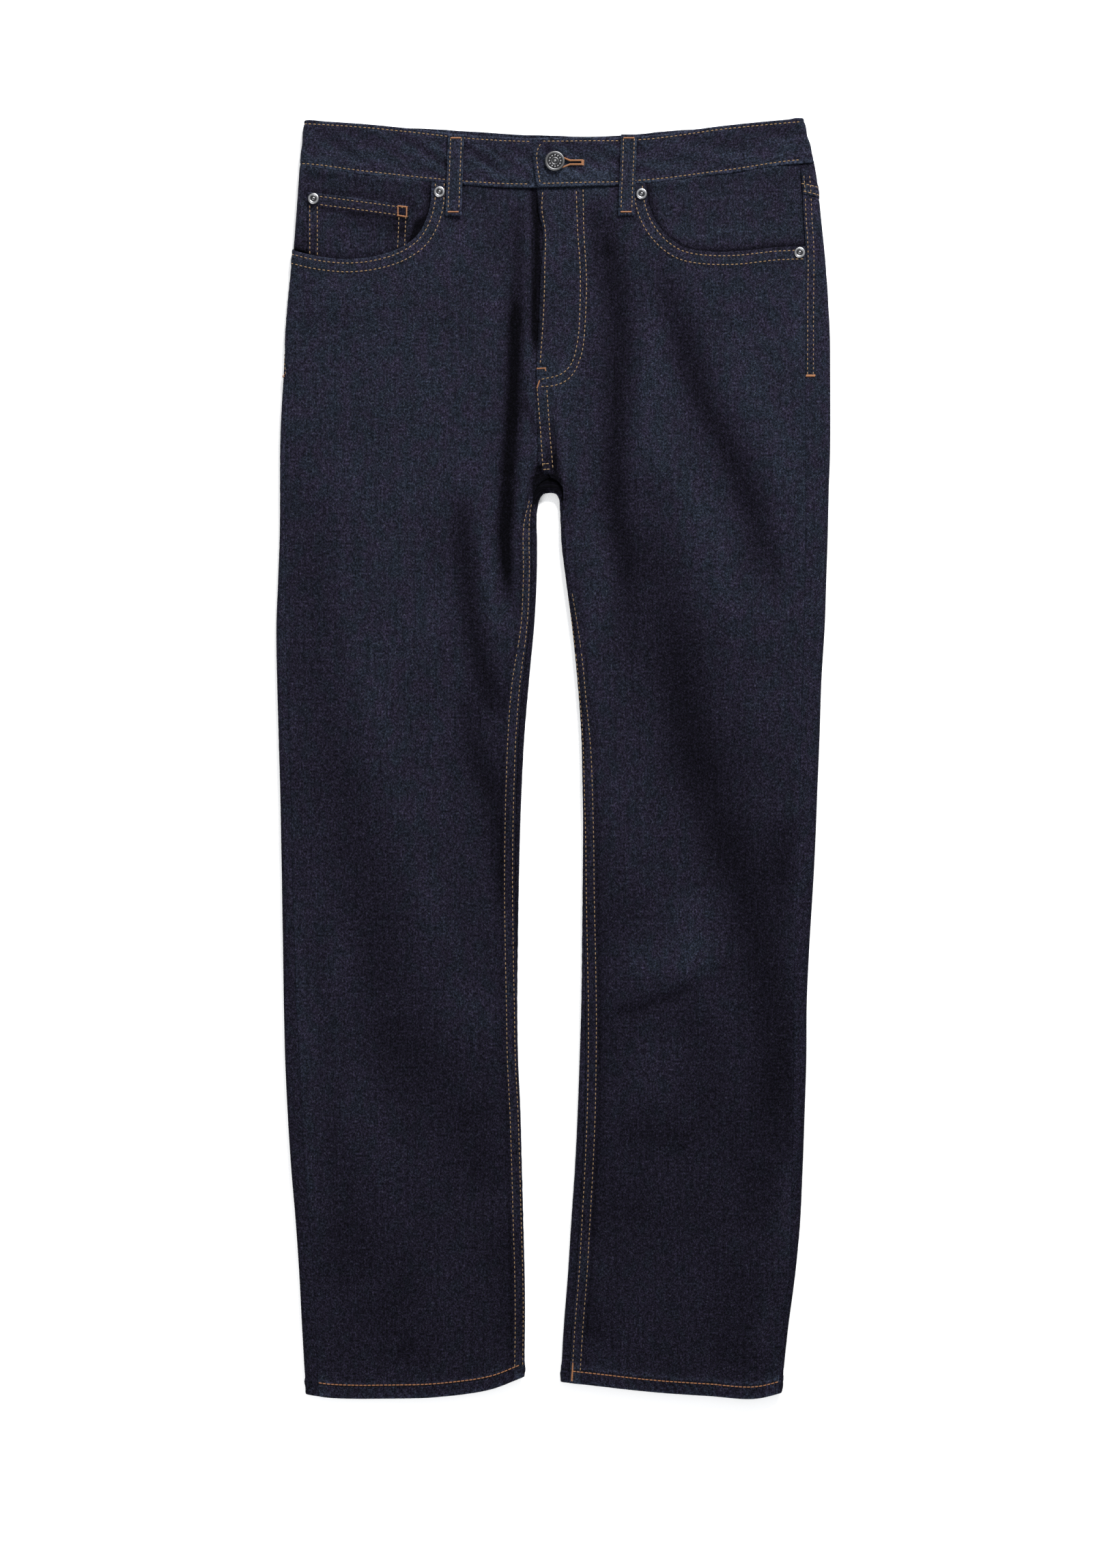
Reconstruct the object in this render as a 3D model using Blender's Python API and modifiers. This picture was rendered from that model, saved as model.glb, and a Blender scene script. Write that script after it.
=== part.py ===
"""Straight leg jeans laid flat, front up. Tables are in millimetres, the scene in metres.

+X runs to the wearer's left, +Y to the waist, +Z up from the surface they lie on.
"""

import math

import bmesh
import bpy
import numpy as np
from mathutils import Vector

MM = 0.001
WALL = 1.3  # denim with its finish
BAND_WALL = 2.4  # two plies and the seam allowance between them
GAP = 0.3
EDGE_R = 3.1  # how tightly a side of the leg is folded
QUARTER = EDGE_R * math.pi / 2
BASE_TOP = 6.2  # outer face of the upper layer above the surface
BAND_TOP = 7.6
BAND_R = 3.8
CENTRE_X = -3.2  # centre back seam, and the crotch point
LAP = 1.6  # the left front lies this much higher where it laps the right one
LAP_UNDER_X = -1.2  # how far the right front runs on under the lap
HEM_DEPTH = 12.0
HEM_RISE = 0.9
OUTER_ZONE = 30.0  # arc lengths from an edge where a row's columns change over
INNER_ZONE = 16.0
BACK_ZONE = -16.0

# A row for each section of a leg from the hem to the crotch: its height at the outer
# edge, that edge, the side seam's place along the cloth from it (positive on top),
# then the inner edge's point, the way in from it in degrees, and the inseam's place.
LEG_COLUMNS = ("y", "outer_x", "side_seam", "inner_x", "inner_y", "inward", "inseam")
RIGHT_LEG = (
    (-530.0, -206.3, 12.5, -24.6, -530.0, 180, 1.0),
    (-518.6, -207.3, 12.6, -24.4, -518.6, 180, 1.0),
    (-516.6, -207.5, 12.6, -24.4, -516.6, 180, 1.0),
    (-475.0, -210.0, 13.4, -24.0, -475.0, 180, 1.0),
    (-430.0, -212.3, 13.7, -24.2, -430.0, 180, 1.2),
    (-385.0, -215.4, 13.5, -25.2, -385.0, 180, 1.5),
    (-340.0, -219.2, 13.5, -26.4, -340.0, 180, 1.5),
    (-295.0, -222.0, 14.0, -27.6, -295.0, 180, 1.8),
    (-250.0, -224.1, 14.0, -29.6, -250.0, 180, 2.0),
    (-205.0, -225.2, 12.4, -30.2, -205.0, 180, 2.2),
    (-160.0, -225.8, 11.8, -29.8, -160.0, 180, 3.5),
    (-115.0, -226.6, 11.0, -29.1, -115.0, 180, 4.8),
    (-70.0, -227.4, 10.7, -28.2, -70.0, 180, 5.5),
    (-25.0, -228.3, 10.7, -26.6, -25.0, 180, 6.1),
    (20.0, -229.6, 10.6, -24.2, 20.0, 180, 6.8),
    (65.0, -230.8, 10.5, -20.4, 65.0, 180, 7.2),
    (110.0, -231.4, 9.5, -16.2, 110.0, 180, 6.2),
    (150.0, -229.9, 8.0, -14.0, 150.0, 180, 6.5),
    (180.0, -228.8, 6.6, -13.7, 180.0, 180, 7.0),
    (198.0, -228.5, 6.2, -14.0, 202.0, 178, 6.5),
    (215.0, -228.3, 6.0, -12.0, 215.0, 160, 7.0),
    (225.0, -228.4, 6.0, -8.4, 220.6, 125, 10.0),
    (232.0, -228.4, 6.0, CENTRE_X - GAP / 2, 221.5, 90, 14.3),
)
LEFT_LEG = (
    (-530.0, 190.2, 4.8, 6.0, -530.0, 0, 8.8),
    (-518.6, 191.2, 5.0, 6.4, -518.6, 0, 8.8),
    (-516.6, 191.4, 5.0, 6.5, -516.6, 0, 8.8),
    (-475.0, 195.8, 6.6, 8.7, -475.0, 0, 9.0),
    (-430.0, 201.6, 7.2, 11.8, -430.0, 0, 9.0),
    (-385.0, 205.8, 9.8, 14.7, -385.0, 0, 8.6),
    (-340.0, 207.9, 11.2, 17.8, -340.0, 0, 8.0),
    (-295.0, 209.5, 11.5, 20.0, -295.0, 0, 7.6),
    (-250.0, 210.9, 12.5, 21.6, -250.0, 0, 6.8),
    (-205.0, 211.3, 13.0, 23.0, -205.0, 0, 5.5),
    (-160.0, 213.2, 14.2, 23.6, -160.0, 0, 4.2),
    (-115.0, 216.0, 15.3, 24.0, -115.0, 0, 2.8),
    (-70.0, 218.5, 16.0, 24.4, -70.0, 0, 2.0),
    (-25.0, 220.2, 17.0, 24.2, -25.0, 0, 1.0),
    (20.0, 222.0, 17.8, 23.2, 20.0, 0, 0.8),
    (65.0, 223.5, 18.2, 20.0, 65.0, 0, 0.8),
    (110.0, 226.3, 19.5, 15.2, 110.0, 0, 1.5),
    (150.0, 227.7, 20.0, 10.2, 150.0, 0, 1.0),
    (180.0, 228.7, 20.5, 6.6, 180.0, 0, 1.0),
    (198.0, 229.1, 20.8, 5.5, 202.0, 5, 2.6),
    (215.0, 229.5, 21.2, 4.6, 215.0, 20, 5.0),
    (225.0, 229.7, 21.6, 1.8, 220.6, 55, 10.0),
    (232.0, 229.9, 21.8, CENTRE_X + GAP / 2, 221.5, 90, 14.3),
)

# Above the crotch only the outer edge and the side seam go on: a row for each height.
HIP_COLUMNS = ("y", "right_x", "right_seam", "left_x", "left_seam")
HIPS = (
    (232.0, -228.4, 6.0, 229.9, 21.8),
    (238.0, -228.4, 6.1, 230.2, 22.1),
    (262.0, -228.2, 6.6, 230.9, 22.9),
    (292.0, -227.0, 7.2, 231.0, 23.0),
    (320.0, -225.3, 5.4, 230.9, 22.9),
    (350.0, -224.0, -1.2, 230.6, 22.6),
    (385.0, -221.2, -5.4, 229.0, 20.8),
    (427.0, -216.9, -6.8, 225.7, 17.4),
    (447.0, -215.3, -7.4, 223.6, 16.6),
    (492.0, -212.0, -8.4, 218.3, 14.3),
    (533.0, -208.0, -8.4, 208.6, 14.3),
)
SEAM_ROWS = 8  # hip rows up to the lower end of the pockets' mouths

# Curves across the garment, each a short list of (x, y).
HEM_RIGHT = (
    (-207, -529.6), (-186, -532.6), (-140, -533.4), (-97, -532.0), (-52, -525.6), (-25, -515.2),
)
HEM_LEFT = (
    (6, -519.4), (40, -523.3), (85, -528.2), (130, -531.2), (168, -533.4), (191, -528.4),
)
WAIST_SEAM = (
    (-228, 491.0), (-212, 492.4), (-158, 486.2), (-97, 479.7), (-36, 475.6),
    (15, 476.0), (78, 478.9), (142, 486.8), (218, 496.0), (236, 494.0),
)
BACK_WAIST_SEAM = (
    (-228, 491.0), (-212, 492.4), (-160, 487.4), (-112, 484.9), (-63, 482.2), (-29, 480.0),
    (8, 478.7), (40, 478.7), (99, 482.9), (142, 487.6), (218, 496.0), (240, 493.6),
)
BAND_FRONT_TOP = (
    (-228, 533.0), (-208, 531.8), (-158, 528.6), (-112, 524.0), (-72, 519.5),
    (-18, 516.8), (28, 517.0), (78, 518.8), (142, 527.2), (207, 533.3), (224, 534.2),
)
BAND_BACK_TOP = (
    (-228, 533.0), (-208, 531.8), (-112, 525.3), (-63, 522.7), (-29, 520.4),
    (8, 519.0), (40, 519.0), (99, 523.3), (142, 527.2), (207, 533.3), (224, 534.2),
)
BAND_END_EDGE = ((475, -13.8), (490, -16.2), (503, -17.2), (517, -12.8))  # height, then x
FLY_EDGE = (
    (234, -12.8), (283, -13.4), (326, -14.2), (362, -12.6), (404, -10.6),
    (436, -8.6), (456, -12.6), (476, -14.0),
)  # height, then x
# Along a front pocket's mouth from the side seam to the waist.
MOUTH_RIGHT = (
    (-226, 427.0), (-214, 422.4), (-197, 418.4), (-174, 416.1), (-152, 417.8), (-132, 423.5),
    (-117, 432.6), (-108, 445.0), (-102.8, 461.0), (-102.0, 479.6),
)
MOUTH_LEFT = (
    (210, 427.0), (196, 426.6), (180, 425.4), (153, 422.4), (130, 422.4), (109.4, 425.8),
    (95.2, 434.9), (84.9, 448.0), (79.4, 462.3), (77.2, 478.8),
)
# The lower edge of each pocket's facing, under the front.
FACING_RIGHT = (
    (-226.0, 427.6), (-221.0, 425.8), (-216.0, 424.2), (-211.0, 422.7), (-206.5, 421.3),
    (-203.5, 414.0), (-192.0, 404.0), (-174.0, 401.0), (-145.0, 403.0), (-120.4, 412.0),
    (-114.0, 419.0), (-100.0, 436.0), (-88.0, 463.0),
)
FACING_LEFT = (
    (210.0, 414.0), (203.0, 412.0), (182.0, 408.0), (150.0, 405.0), (118.0, 407.0),
    (94.0, 416.0), (76.0, 436.0), (64.0, 462.0),
)
FACING_ROWS = (427.6, 447.0, 470.0)
YOKE_CENTRE_Y = 408.0
YOKE_SIDE_Y = 463.0
YOKE_HALF = 212.0

# The largest folds of the upper layer: a line of points, how wide, and how high.
FOLD_COLUMNS = ("line", "width", "height")
FOLDS = (
    (((-30, 440), (-34, 343), (-41, 257), (-41, 186), (-35, 120), (-41, 70)), 11, -3.0),
    (((-56, 430), (-60, 330), (-66, 240), (-66, 150), (-60, 90)), 15, 3.0),
    (((-27, 330), (-26, 270), (-27, 215)), 8, 1.6),
    (((48, 445), (56, 371), (52, 285), (51, 214), (65, 143), (76, 60)), 15, -2.6),
    (((36, 300), (32, 230), (36, 160), (44, 90), (52, 10)), 13, 2.6),
    (((84, 400), (84, 300), (80, 220), (92, 140), (104, 70)), 17, 3.0),
    (((91, 410), (119, 328), (148, 257), (175, 190)), 16, -2.6),
    (((128, 390), (150, 320), (178, 262), (198, 215)), 16, 2.4),
    (((84, 145), (98, 55), (126, 4), (138, -38), (160, -68), (182, -179), (189, -255)), 15, -2.6),
    (((112, 120), (124, 60), (150, 10), (172, -40), (188, -110)), 17, 2.4),
    (((60, -30), (92, -90), (126, -150), (148, -240)), 20, 2.0),
    (((42, -206), (70, -197), (98, -190)), 7, -1.6),
    (((-76, 163), (-64, 83), (-52, 55)), 13, -2.0),
    (((-69, 14), (-57, -10)), 12, -1.6),
    (((-176, 150), (-148, 6), (-124, -93), (-98, -170)), 18, 2.6),
    (((-168, -40), (-142, -110), (-116, -182)), 14, -1.8),
    (((-190, 330), (-172, 250), (-150, 180)), 20, 1.8),
    (((-196, -60), (-192, -160), (-186, -260)), 16, 1.4),
    (((-120, -260), (-104, -340), (-92, -440)), 22, 1.4),
    (((96, -300), (88, -380), (92, -460)), 22, 1.4),
)

# What lies under the back lifts it: centre, half sizes, how far it lifts, and the slope's length.
LIFT_COLUMNS = ("x", "y", "half_x", "half_y", "height", "slope")
BACK_LIFTS = (
    (-107.0, 315.0, 90.0, 90.0, 1.7, 20.0),
    (102.0, 315.0, 90.0, 90.0, 1.7, 20.0),
    (-100.0, 500.0, 8.5, 56.0, 2.3, 12.0),
    (96.0, 500.0, 8.5, 56.0, 2.3, 12.0),
    (CENTRE_X, 500.0, 8.5, 70.0, 2.3, 12.0),
)
# The pockets' facings, and the coin pocket on the right one, lift the front in the same way.
FRONT_LIFTS = (
    (-152.0, 432.0, 56.0, 57.0, 1.3, 20.0),
    (124.0, 432.0, 60.0, 57.0, 1.0, 20.0),
)

FLY_TOP_X = 31.0  # how far the doubled fly runs from the lap
BAND_INNER_END_X = 27.2
BAND_OVER = BAND_WALL + GAP

LOOP_WIDTH = 13.5
LOOP_WALL = 2.0
LOOP_TOP_Y = 519.6
LOOP_BOTTOM_Y = 452.0
FRONT_LOOPS = (("belt_loop_front_right", -81.2, -83.6), ("belt_loop_front_left", 62.8, 60.4))
BACK_LOOPS = (
    ("belt_loop_back_right", -100.0),
    ("belt_loop_back_left", 96.0),
    ("belt_loop_centre_back", CENTRE_X),
)
LOOP_COLUMNS = (-20.5, -14.0, -8.5, 8.5, 14.0, 20.5)  # the cloth's slopes beside a back loop

COIN = dict(left=-205.2, right=-121.0, top_left=472.3, top_right=461.2, bottom=408.0, wall=1.2)
BACK_POCKETS = (("back_pocket_right", -107.0), ("back_pocket_left", 102.0))
BACK_POCKET = dict(top_half=76.0, low_half=68.0, top_y=389.0, corner_y=262.0, tip_y=240.0, wall=1.3)
ZIP = dict(left=-0.7, right=26.0, bottom=322.0, top=470.0, wall=1.0)

# A rivet for each strained corner: x, y, and how far its seat is below the upper layer.
RIVETS = (
    ("rivet_coin_pocket", -200.2, 466.4, 1.6),
    ("rivet_pocket_right", -95.2, 471.8, 0.0),
    ("rivet_pocket_left", 73.2, 470.2, 0.0),
    ("rivet_pocket_left_side", 205.0, 421.4, 0.0),
)
RIVET_R = 4.75
BUTTON_AT = (1.0, 496.8)
BUTTON_R = 8.3
BUTTON_HOLE = dict(start=1.2, end=7.8, y=496.6, radius=3.2, slot_end=23.0, slot_half=0.9)
SHANK_R = 2.6

COLOURS = {
    "denim": (0.022, 0.026, 0.050, 0.85, 0.0),
    "denim_band": (0.026, 0.031, 0.060, 0.85, 0.0),
    "zip_tape": (0.030, 0.032, 0.045, 0.80, 0.0),
    "nickel": (0.62, 0.62, 0.60, 0.32, 1.0),
    "antique_nickel": (0.38, 0.38, 0.37, 0.42, 1.0),
}


def clear_scene():
    for obj in list(bpy.data.objects):
        bpy.data.objects.remove(obj, do_unlink=True)


def new_collection(name):
    collection = bpy.data.collections.new(name)
    bpy.context.scene.collection.children.link(collection)
    return collection


def make_material(name):
    red, green, blue, rough, metal = COLOURS[name]
    material = bpy.data.materials.new(name)
    material.use_nodes = True
    shader = material.node_tree.nodes["Principled BSDF"]
    shader.inputs["Base Color"].default_value = (red, green, blue, 1.0)
    shader.inputs["Roughness"].default_value = rough
    shader.inputs["Metallic"].default_value = metal
    return material


def table(rows, columns):
    """The rows as one array for each named column."""
    return {name: np.array([row[i] for row in rows], float) for i, name in enumerate(columns)}


def smooth_curve(points, at):
    """A smooth curve through (place, value) points: cubics that share their slopes."""
    place, value = np.array(points, float).T
    order = np.argsort(place)
    place, value = place[order], value[order]
    step = np.diff(place)
    rise = np.diff(value) / step
    slope = np.concatenate([rise[:1], (rise[:-1] + rise[1:]) / 2, rise[-1:]])
    at = np.clip(np.asarray(at, float), place[0], place[-1])
    i = np.clip(np.searchsorted(place, at) - 1, 0, len(step) - 1)
    t = (at - place[i]) / step[i]
    start = (1 + 2 * t) * (1 - t) ** 2 * value[i] + t * (1 - t) ** 2 * step[i] * slope[i]
    end = t * t * (3 - 2 * t) * value[i + 1] - t * t * (1 - t) * step[i] * slope[i + 1]
    return start + end


def ease(t):
    """0 to 1 with flat ends."""
    t = np.clip(t, 0.0, 1.0)
    return t * t * (3 - 2 * t)


def plateau(x, y, row):
    """A raised patch: full height inside its half sizes, then a soft slope to nothing."""
    cx, cy, half_x, half_y, height, slope = row
    out_x = 1 - ease((np.abs(x - cx) - half_x) / slope)
    out_y = 1 - ease((np.abs(y - cy) - half_y) / slope)
    return height * out_x * out_y


def distance_to_line(x, y, line):
    """Distance to a line of points, and how far along it the nearest place is, 0 to 1."""
    points = np.array(line, float)
    lengths = np.hypot(*np.diff(points, axis=0).T)
    best = np.full(np.shape(x), 1e9)
    along = np.zeros(np.shape(x))
    done = 0.0
    for start, end, length in zip(points[:-1], points[1:], lengths):
        run = (end - start) / length
        t = np.clip((x - start[0]) * run[0] + (y - start[1]) * run[1], 0, length)
        away = np.hypot(x - start[0] - t * run[0], y - start[1] - t * run[1])
        along = np.where(away < best, (done + t) / lengths.sum(), along)
        best = np.minimum(best, away)
        done += length
    return best, along


def back_z(x, y):
    """Outer face of the lower layer: flat, but lifted by what lies under it."""
    return sum(plateau(x, y, row) for row in BACK_LIFTS)


def top_z(x, y):
    """Outer face of the upper layer: its folds, and what lifts it from below."""
    z = np.full(np.shape(x), BASE_TOP)
    calm = 1 - (1 - ease((np.abs(x - 7) - 24) / 10)) * ease((y - 222) / 14)
    for line, width, height in FOLDS:
        away, along = distance_to_line(x, y, line)
        ends = ease(along / 0.2) * ease((1 - along) / 0.2)
        z = z + calm * height * ends * np.exp(-((away / width) ** 2))
    return np.maximum(z, 4.7) + sum(plateau(x, y, row) for row in FRONT_LIFTS)


def hem_shift(x, y):
    """How far a row near the hem moves along the leg, to lie parallel to the hem's curve."""
    hem = np.where(x < 0, smooth_curve(HEM_RIGHT, x), smooth_curve(HEM_LEFT, x)) + 530.0
    return hem * (1 - ease((y + 510.0) / 90.0))


def hem_rise(y):
    """The hem's turned up plies stand proud of the leg."""
    return HEM_RISE * (1 - ease((y + 530.0 - HEM_DEPTH + 0.8) / 1.6))


def finish_point(x, y, z, rise):
    return np.stack([x, y + hem_shift(x, y), z + rise], axis=-1)


def top_point(x, y, depth=0.0):
    """A point of the upper layer, a depth into its cloth."""
    return finish_point(x, y, top_z(x, y) - depth, hem_rise(y))


def bottom_point(x, y, depth=0.0):
    return finish_point(x, y, back_z(x, y) + depth, 0.0 * y)


def edge_point(x, y, way_x, way_y, arc, depth, radius=EDGE_R, top=None):
    """A point of the fold round an edge.

    (x, y) is the edge, (way_x, way_y) points into the garment, and arc is the way
    along the cloth from the edge, positive on top. Past a quarter turn it runs flat.
    """
    quarter = radius * math.pi / 2
    x_in, y_in = x + way_x * radius, y + way_y * radius
    high = top_z(x_in, y_in) if top is None else top
    low = back_z(x_in, y_in)
    angle = np.clip(arc / radius, -math.pi / 2, math.pi / 2)
    past = np.maximum(np.abs(arc) - quarter, 0.0)
    run = radius - (radius - depth) * np.cos(angle) + past
    px, py = x + way_x * run, y + way_y * run
    middle, half = (high + low) / 2, (high - low) / 2
    z = middle + (half - depth) * np.sin(angle)
    if top is None:
        z = np.where(arc > quarter, top_z(px, py) - depth, z)
    z = np.where(arc < -quarter, back_z(px, py) + depth, z)
    share = ease((np.sin(angle) + 0.2) / 0.8)
    return finish_point(px, py, z, hem_rise(y) * share)


HIP = table(HIPS, HIP_COLUMNS)
LEGS = {
    "right": dict(rows=table(RIGHT_LEG, LEG_COLUMNS), side=-1, hem=HEM_RIGHT),
    "left": dict(rows=table(LEFT_LEG, LEG_COLUMNS), side=1, hem=HEM_LEFT),
}


def hip_edge(leg, y):
    return np.interp(y, HIP["y"], HIP[leg + "_x"])


def hip_seam(leg, y):
    return np.interp(y, HIP["y"], HIP[leg + "_seam"])


def seam_x(leg, y):
    """The side seam's place on the unrolled upper layer."""
    side = LEGS[leg]["side"]
    return hip_edge(leg, y) - side * (hip_seam(leg, y) - QUARTER + EDGE_R)


def hip_top_point(leg, x, y, depth=0.0):
    """A point of the upper layer above the crotch, where x beyond the edge goes round it."""
    side = LEGS[leg]["side"]
    edge = hip_edge(leg, y)
    arc = side * (edge - x) + QUARTER - EDGE_R
    return edge_point(edge, y, -side * np.ones_like(x), np.zeros_like(x), arc, depth)


def hip_bottom_point(leg, x, y, depth=0.0):
    """The same for the lower layer: x beyond the edge comes up round it."""
    side = LEGS[leg]["side"]
    edge = hip_edge(leg, y)
    arc = -(side * (edge - x) + QUARTER - EDGE_R)
    return edge_point(edge, y, -side * np.ones_like(x), np.zeros_like(x), arc, depth)


def leg_arcs(rows, zone, fixed, seam, spread):
    """Arc lengths across an edge for each row, from a zone's end to the seam.

    fixed are the places that round the fold well; they keep off the seam by spread.
    """
    count = len(fixed)
    sign = 1 if zone > 0 else -1
    keep = [seam + sign * spread * (count - i) for i in range(count)]
    arcs = [np.full(len(rows["y"]), zone)]
    arcs += [sign * np.maximum(sign * fixed[i], sign * keep[i]) for i in range(count)]
    return np.stack(arcs + [seam], axis=1)


def leg_edge(rows, which, arcs, depth):
    """Points of the outer or the inner edge's fold: a row for each section."""
    ones = np.ones_like(arcs)
    if which == "outer":
        side = np.sign(rows["outer_x"])[:, None]
        x, y = rows["outer_x"][:, None] * ones, rows["y"][:, None] * ones
        way_x, way_y = -side * ones, 0.0 * ones
    else:
        turn = np.radians(rows["inward"])[:, None]
        x, y = rows["inner_x"][:, None] * ones, rows["inner_y"][:, None] * ones
        way_x, way_y = np.cos(turn) * ones, np.sin(turn) * ones
    return edge_point(x, y, way_x, way_y, arcs, depth)


def edge_plan(rows, which, zone):
    """Where the zone ends in plan, before the hem's curve is laid on."""
    run = EDGE_R + abs(zone) - QUARTER
    if which == "outer":
        return rows["outer_x"] - np.sign(rows["outer_x"]) * run, rows["y"]
    turn = np.radians(rows["inward"])
    return rows["inner_x"] + run * np.cos(turn), rows["inner_y"] + run * np.sin(turn)


def across(start, end, shares):
    return start[:, None] + (end - start)[:, None] * np.array(shares)[None, :]


def coons(bottom, top, left, right, along, up):
    """A grid inside four curves of (x, y): the blend of both pairs, less the corners."""
    u = np.asarray(along)[None, :, None]
    v = np.asarray(up)[:, None, None]
    ruled = (1 - v) * bottom[None] + v * top[None] + (1 - u) * left[:, None] + u * right[:, None]
    corners = (1 - u) * (1 - v) * bottom[0] + u * (1 - v) * bottom[-1]
    corners = corners + (1 - u) * v * top[0] + u * v * top[-1]
    return ruled - corners


def wall_mesh(name, outer, inner, keep=None):
    """A closed wall between two grids of points: both faces, and a rim round what is kept."""
    rows, columns = outer.shape[:2]
    if keep is None:
        keep = np.ones((rows - 1, columns - 1), bool)
    index = np.arange(rows * columns).reshape(rows, columns)
    a, b = index[:-1, :-1][keep], index[:-1, 1:][keep]
    c, d = index[1:, 1:][keep], index[1:, :-1][keep]
    face = np.stack([a, b, c, d], axis=1)
    edges = np.concatenate([face[:, [i, (i + 1) % 4]] for i in range(4)])
    twin = {tuple(edge) for edge in edges.tolist()}
    rim = np.array([edge for edge in edges.tolist() if (edge[1], edge[0]) not in twin])
    count = rows * columns
    sides = np.stack([rim[:, 1], rim[:, 0], rim[:, 0] + count, rim[:, 1] + count], axis=1)
    faces = np.concatenate([face, face[:, ::-1] + count, sides])
    points = np.concatenate([outer.reshape(-1, 3), inner.reshape(-1, 3)]) * MM
    used = np.unique(faces)
    renumber = np.full(len(points), -1)
    renumber[used] = np.arange(len(used))
    mesh = bpy.data.meshes.new(name)
    mesh.from_pydata(points[used].tolist(), [], renumber[faces].tolist())
    work = bmesh.new()
    work.from_mesh(mesh)
    bmesh.ops.triangulate(work, faces=work.faces[:], quad_method="SHORT_EDGE")
    bmesh.ops.recalc_face_normals(work, faces=work.faces[:])
    work.to_mesh(mesh)
    work.free()
    return mesh


def add_object(name, mesh, collection, material):
    obj = bpy.data.objects.new(name, mesh)
    collection.objects.link(obj)
    obj.data.materials.append(material)
    mesh.shade_smooth()
    mesh.set_sharp_from_angle(angle=math.radians(40))
    return obj


def front_lift(y):
    """The x up to which the left front stays up on the right one."""
    return np.where(y > 305, FLY_TOP_X, 6.0 + (FLY_TOP_X - 6.0) * ease((y - 275) / 30))


def lap_rise(x, y):
    hold = front_lift(y)
    low = ease((y - 205.0) / 22.0)
    return LAP * (1 - ease((x - hold) / 12.0)) * low


def front_grid(leg):
    """The front's points in plan from the hem to the waist, with its seam's half gap."""
    rows = LEGS[leg]["rows"]
    side_arcs = leg_arcs(rows, OUTER_ZONE, (12.0, 4.9, 1.6, -1.6), rows["side_seam"] + GAP / 2, 1.2)
    inner_arcs = leg_arcs(rows, INNER_ZONE, (9.0, 4.9, 2.4, 0.6), rows["inseam"] + GAP / 2, 0.35)
    return rows, side_arcs[:, ::-1], inner_arcs


FRONT_SHARES = (0.14, 0.28, 0.41, 0.53, 0.64, 0.73, 0.81, 0.88, 0.94)


def mouth_and_waist(leg, count):
    """The front's upper edge from the side seam to the fly: the pocket's mouth, then the waist."""
    mouth = np.array(MOUTH_RIGHT if leg == "right" else MOUTH_LEFT, float)
    mouth[0] = (seam_x(leg, HIP["y"][SEAM_ROWS - 1]), HIP["y"][SEAM_ROWS - 1])
    end_x = LAP_UNDER_X if leg == "right" else smooth_curve(FLY_EDGE, 476.0)
    waist_x = np.linspace(mouth[-1, 0], float(end_x), 7)[1:]
    waist = np.stack([waist_x, smooth_curve(WAIST_SEAM, waist_x) - GAP / 2], axis=1)
    mouth[-1, 1] = smooth_curve(WAIST_SEAM, mouth[-1, 0]) - GAP / 2
    dense_at = np.linspace(0, len(mouth) - 1, 81)
    dense = np.stack([smooth_curve(list(enumerate(mouth[:, i])), dense_at) for i in (0, 1)], axis=1)
    length = np.concatenate([[0], np.cumsum(np.hypot(*np.diff(dense, axis=0).T))])
    even = np.linspace(0, 1, count - len(waist))
    places = length[-1] * (0.25 * even + 0.75 * even**2 * (1.7 - 0.7 * even))
    along = np.stack([np.interp(places, length, dense[:, i]) for i in (0, 1)], axis=1)
    return np.concatenate([along, waist])


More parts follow.
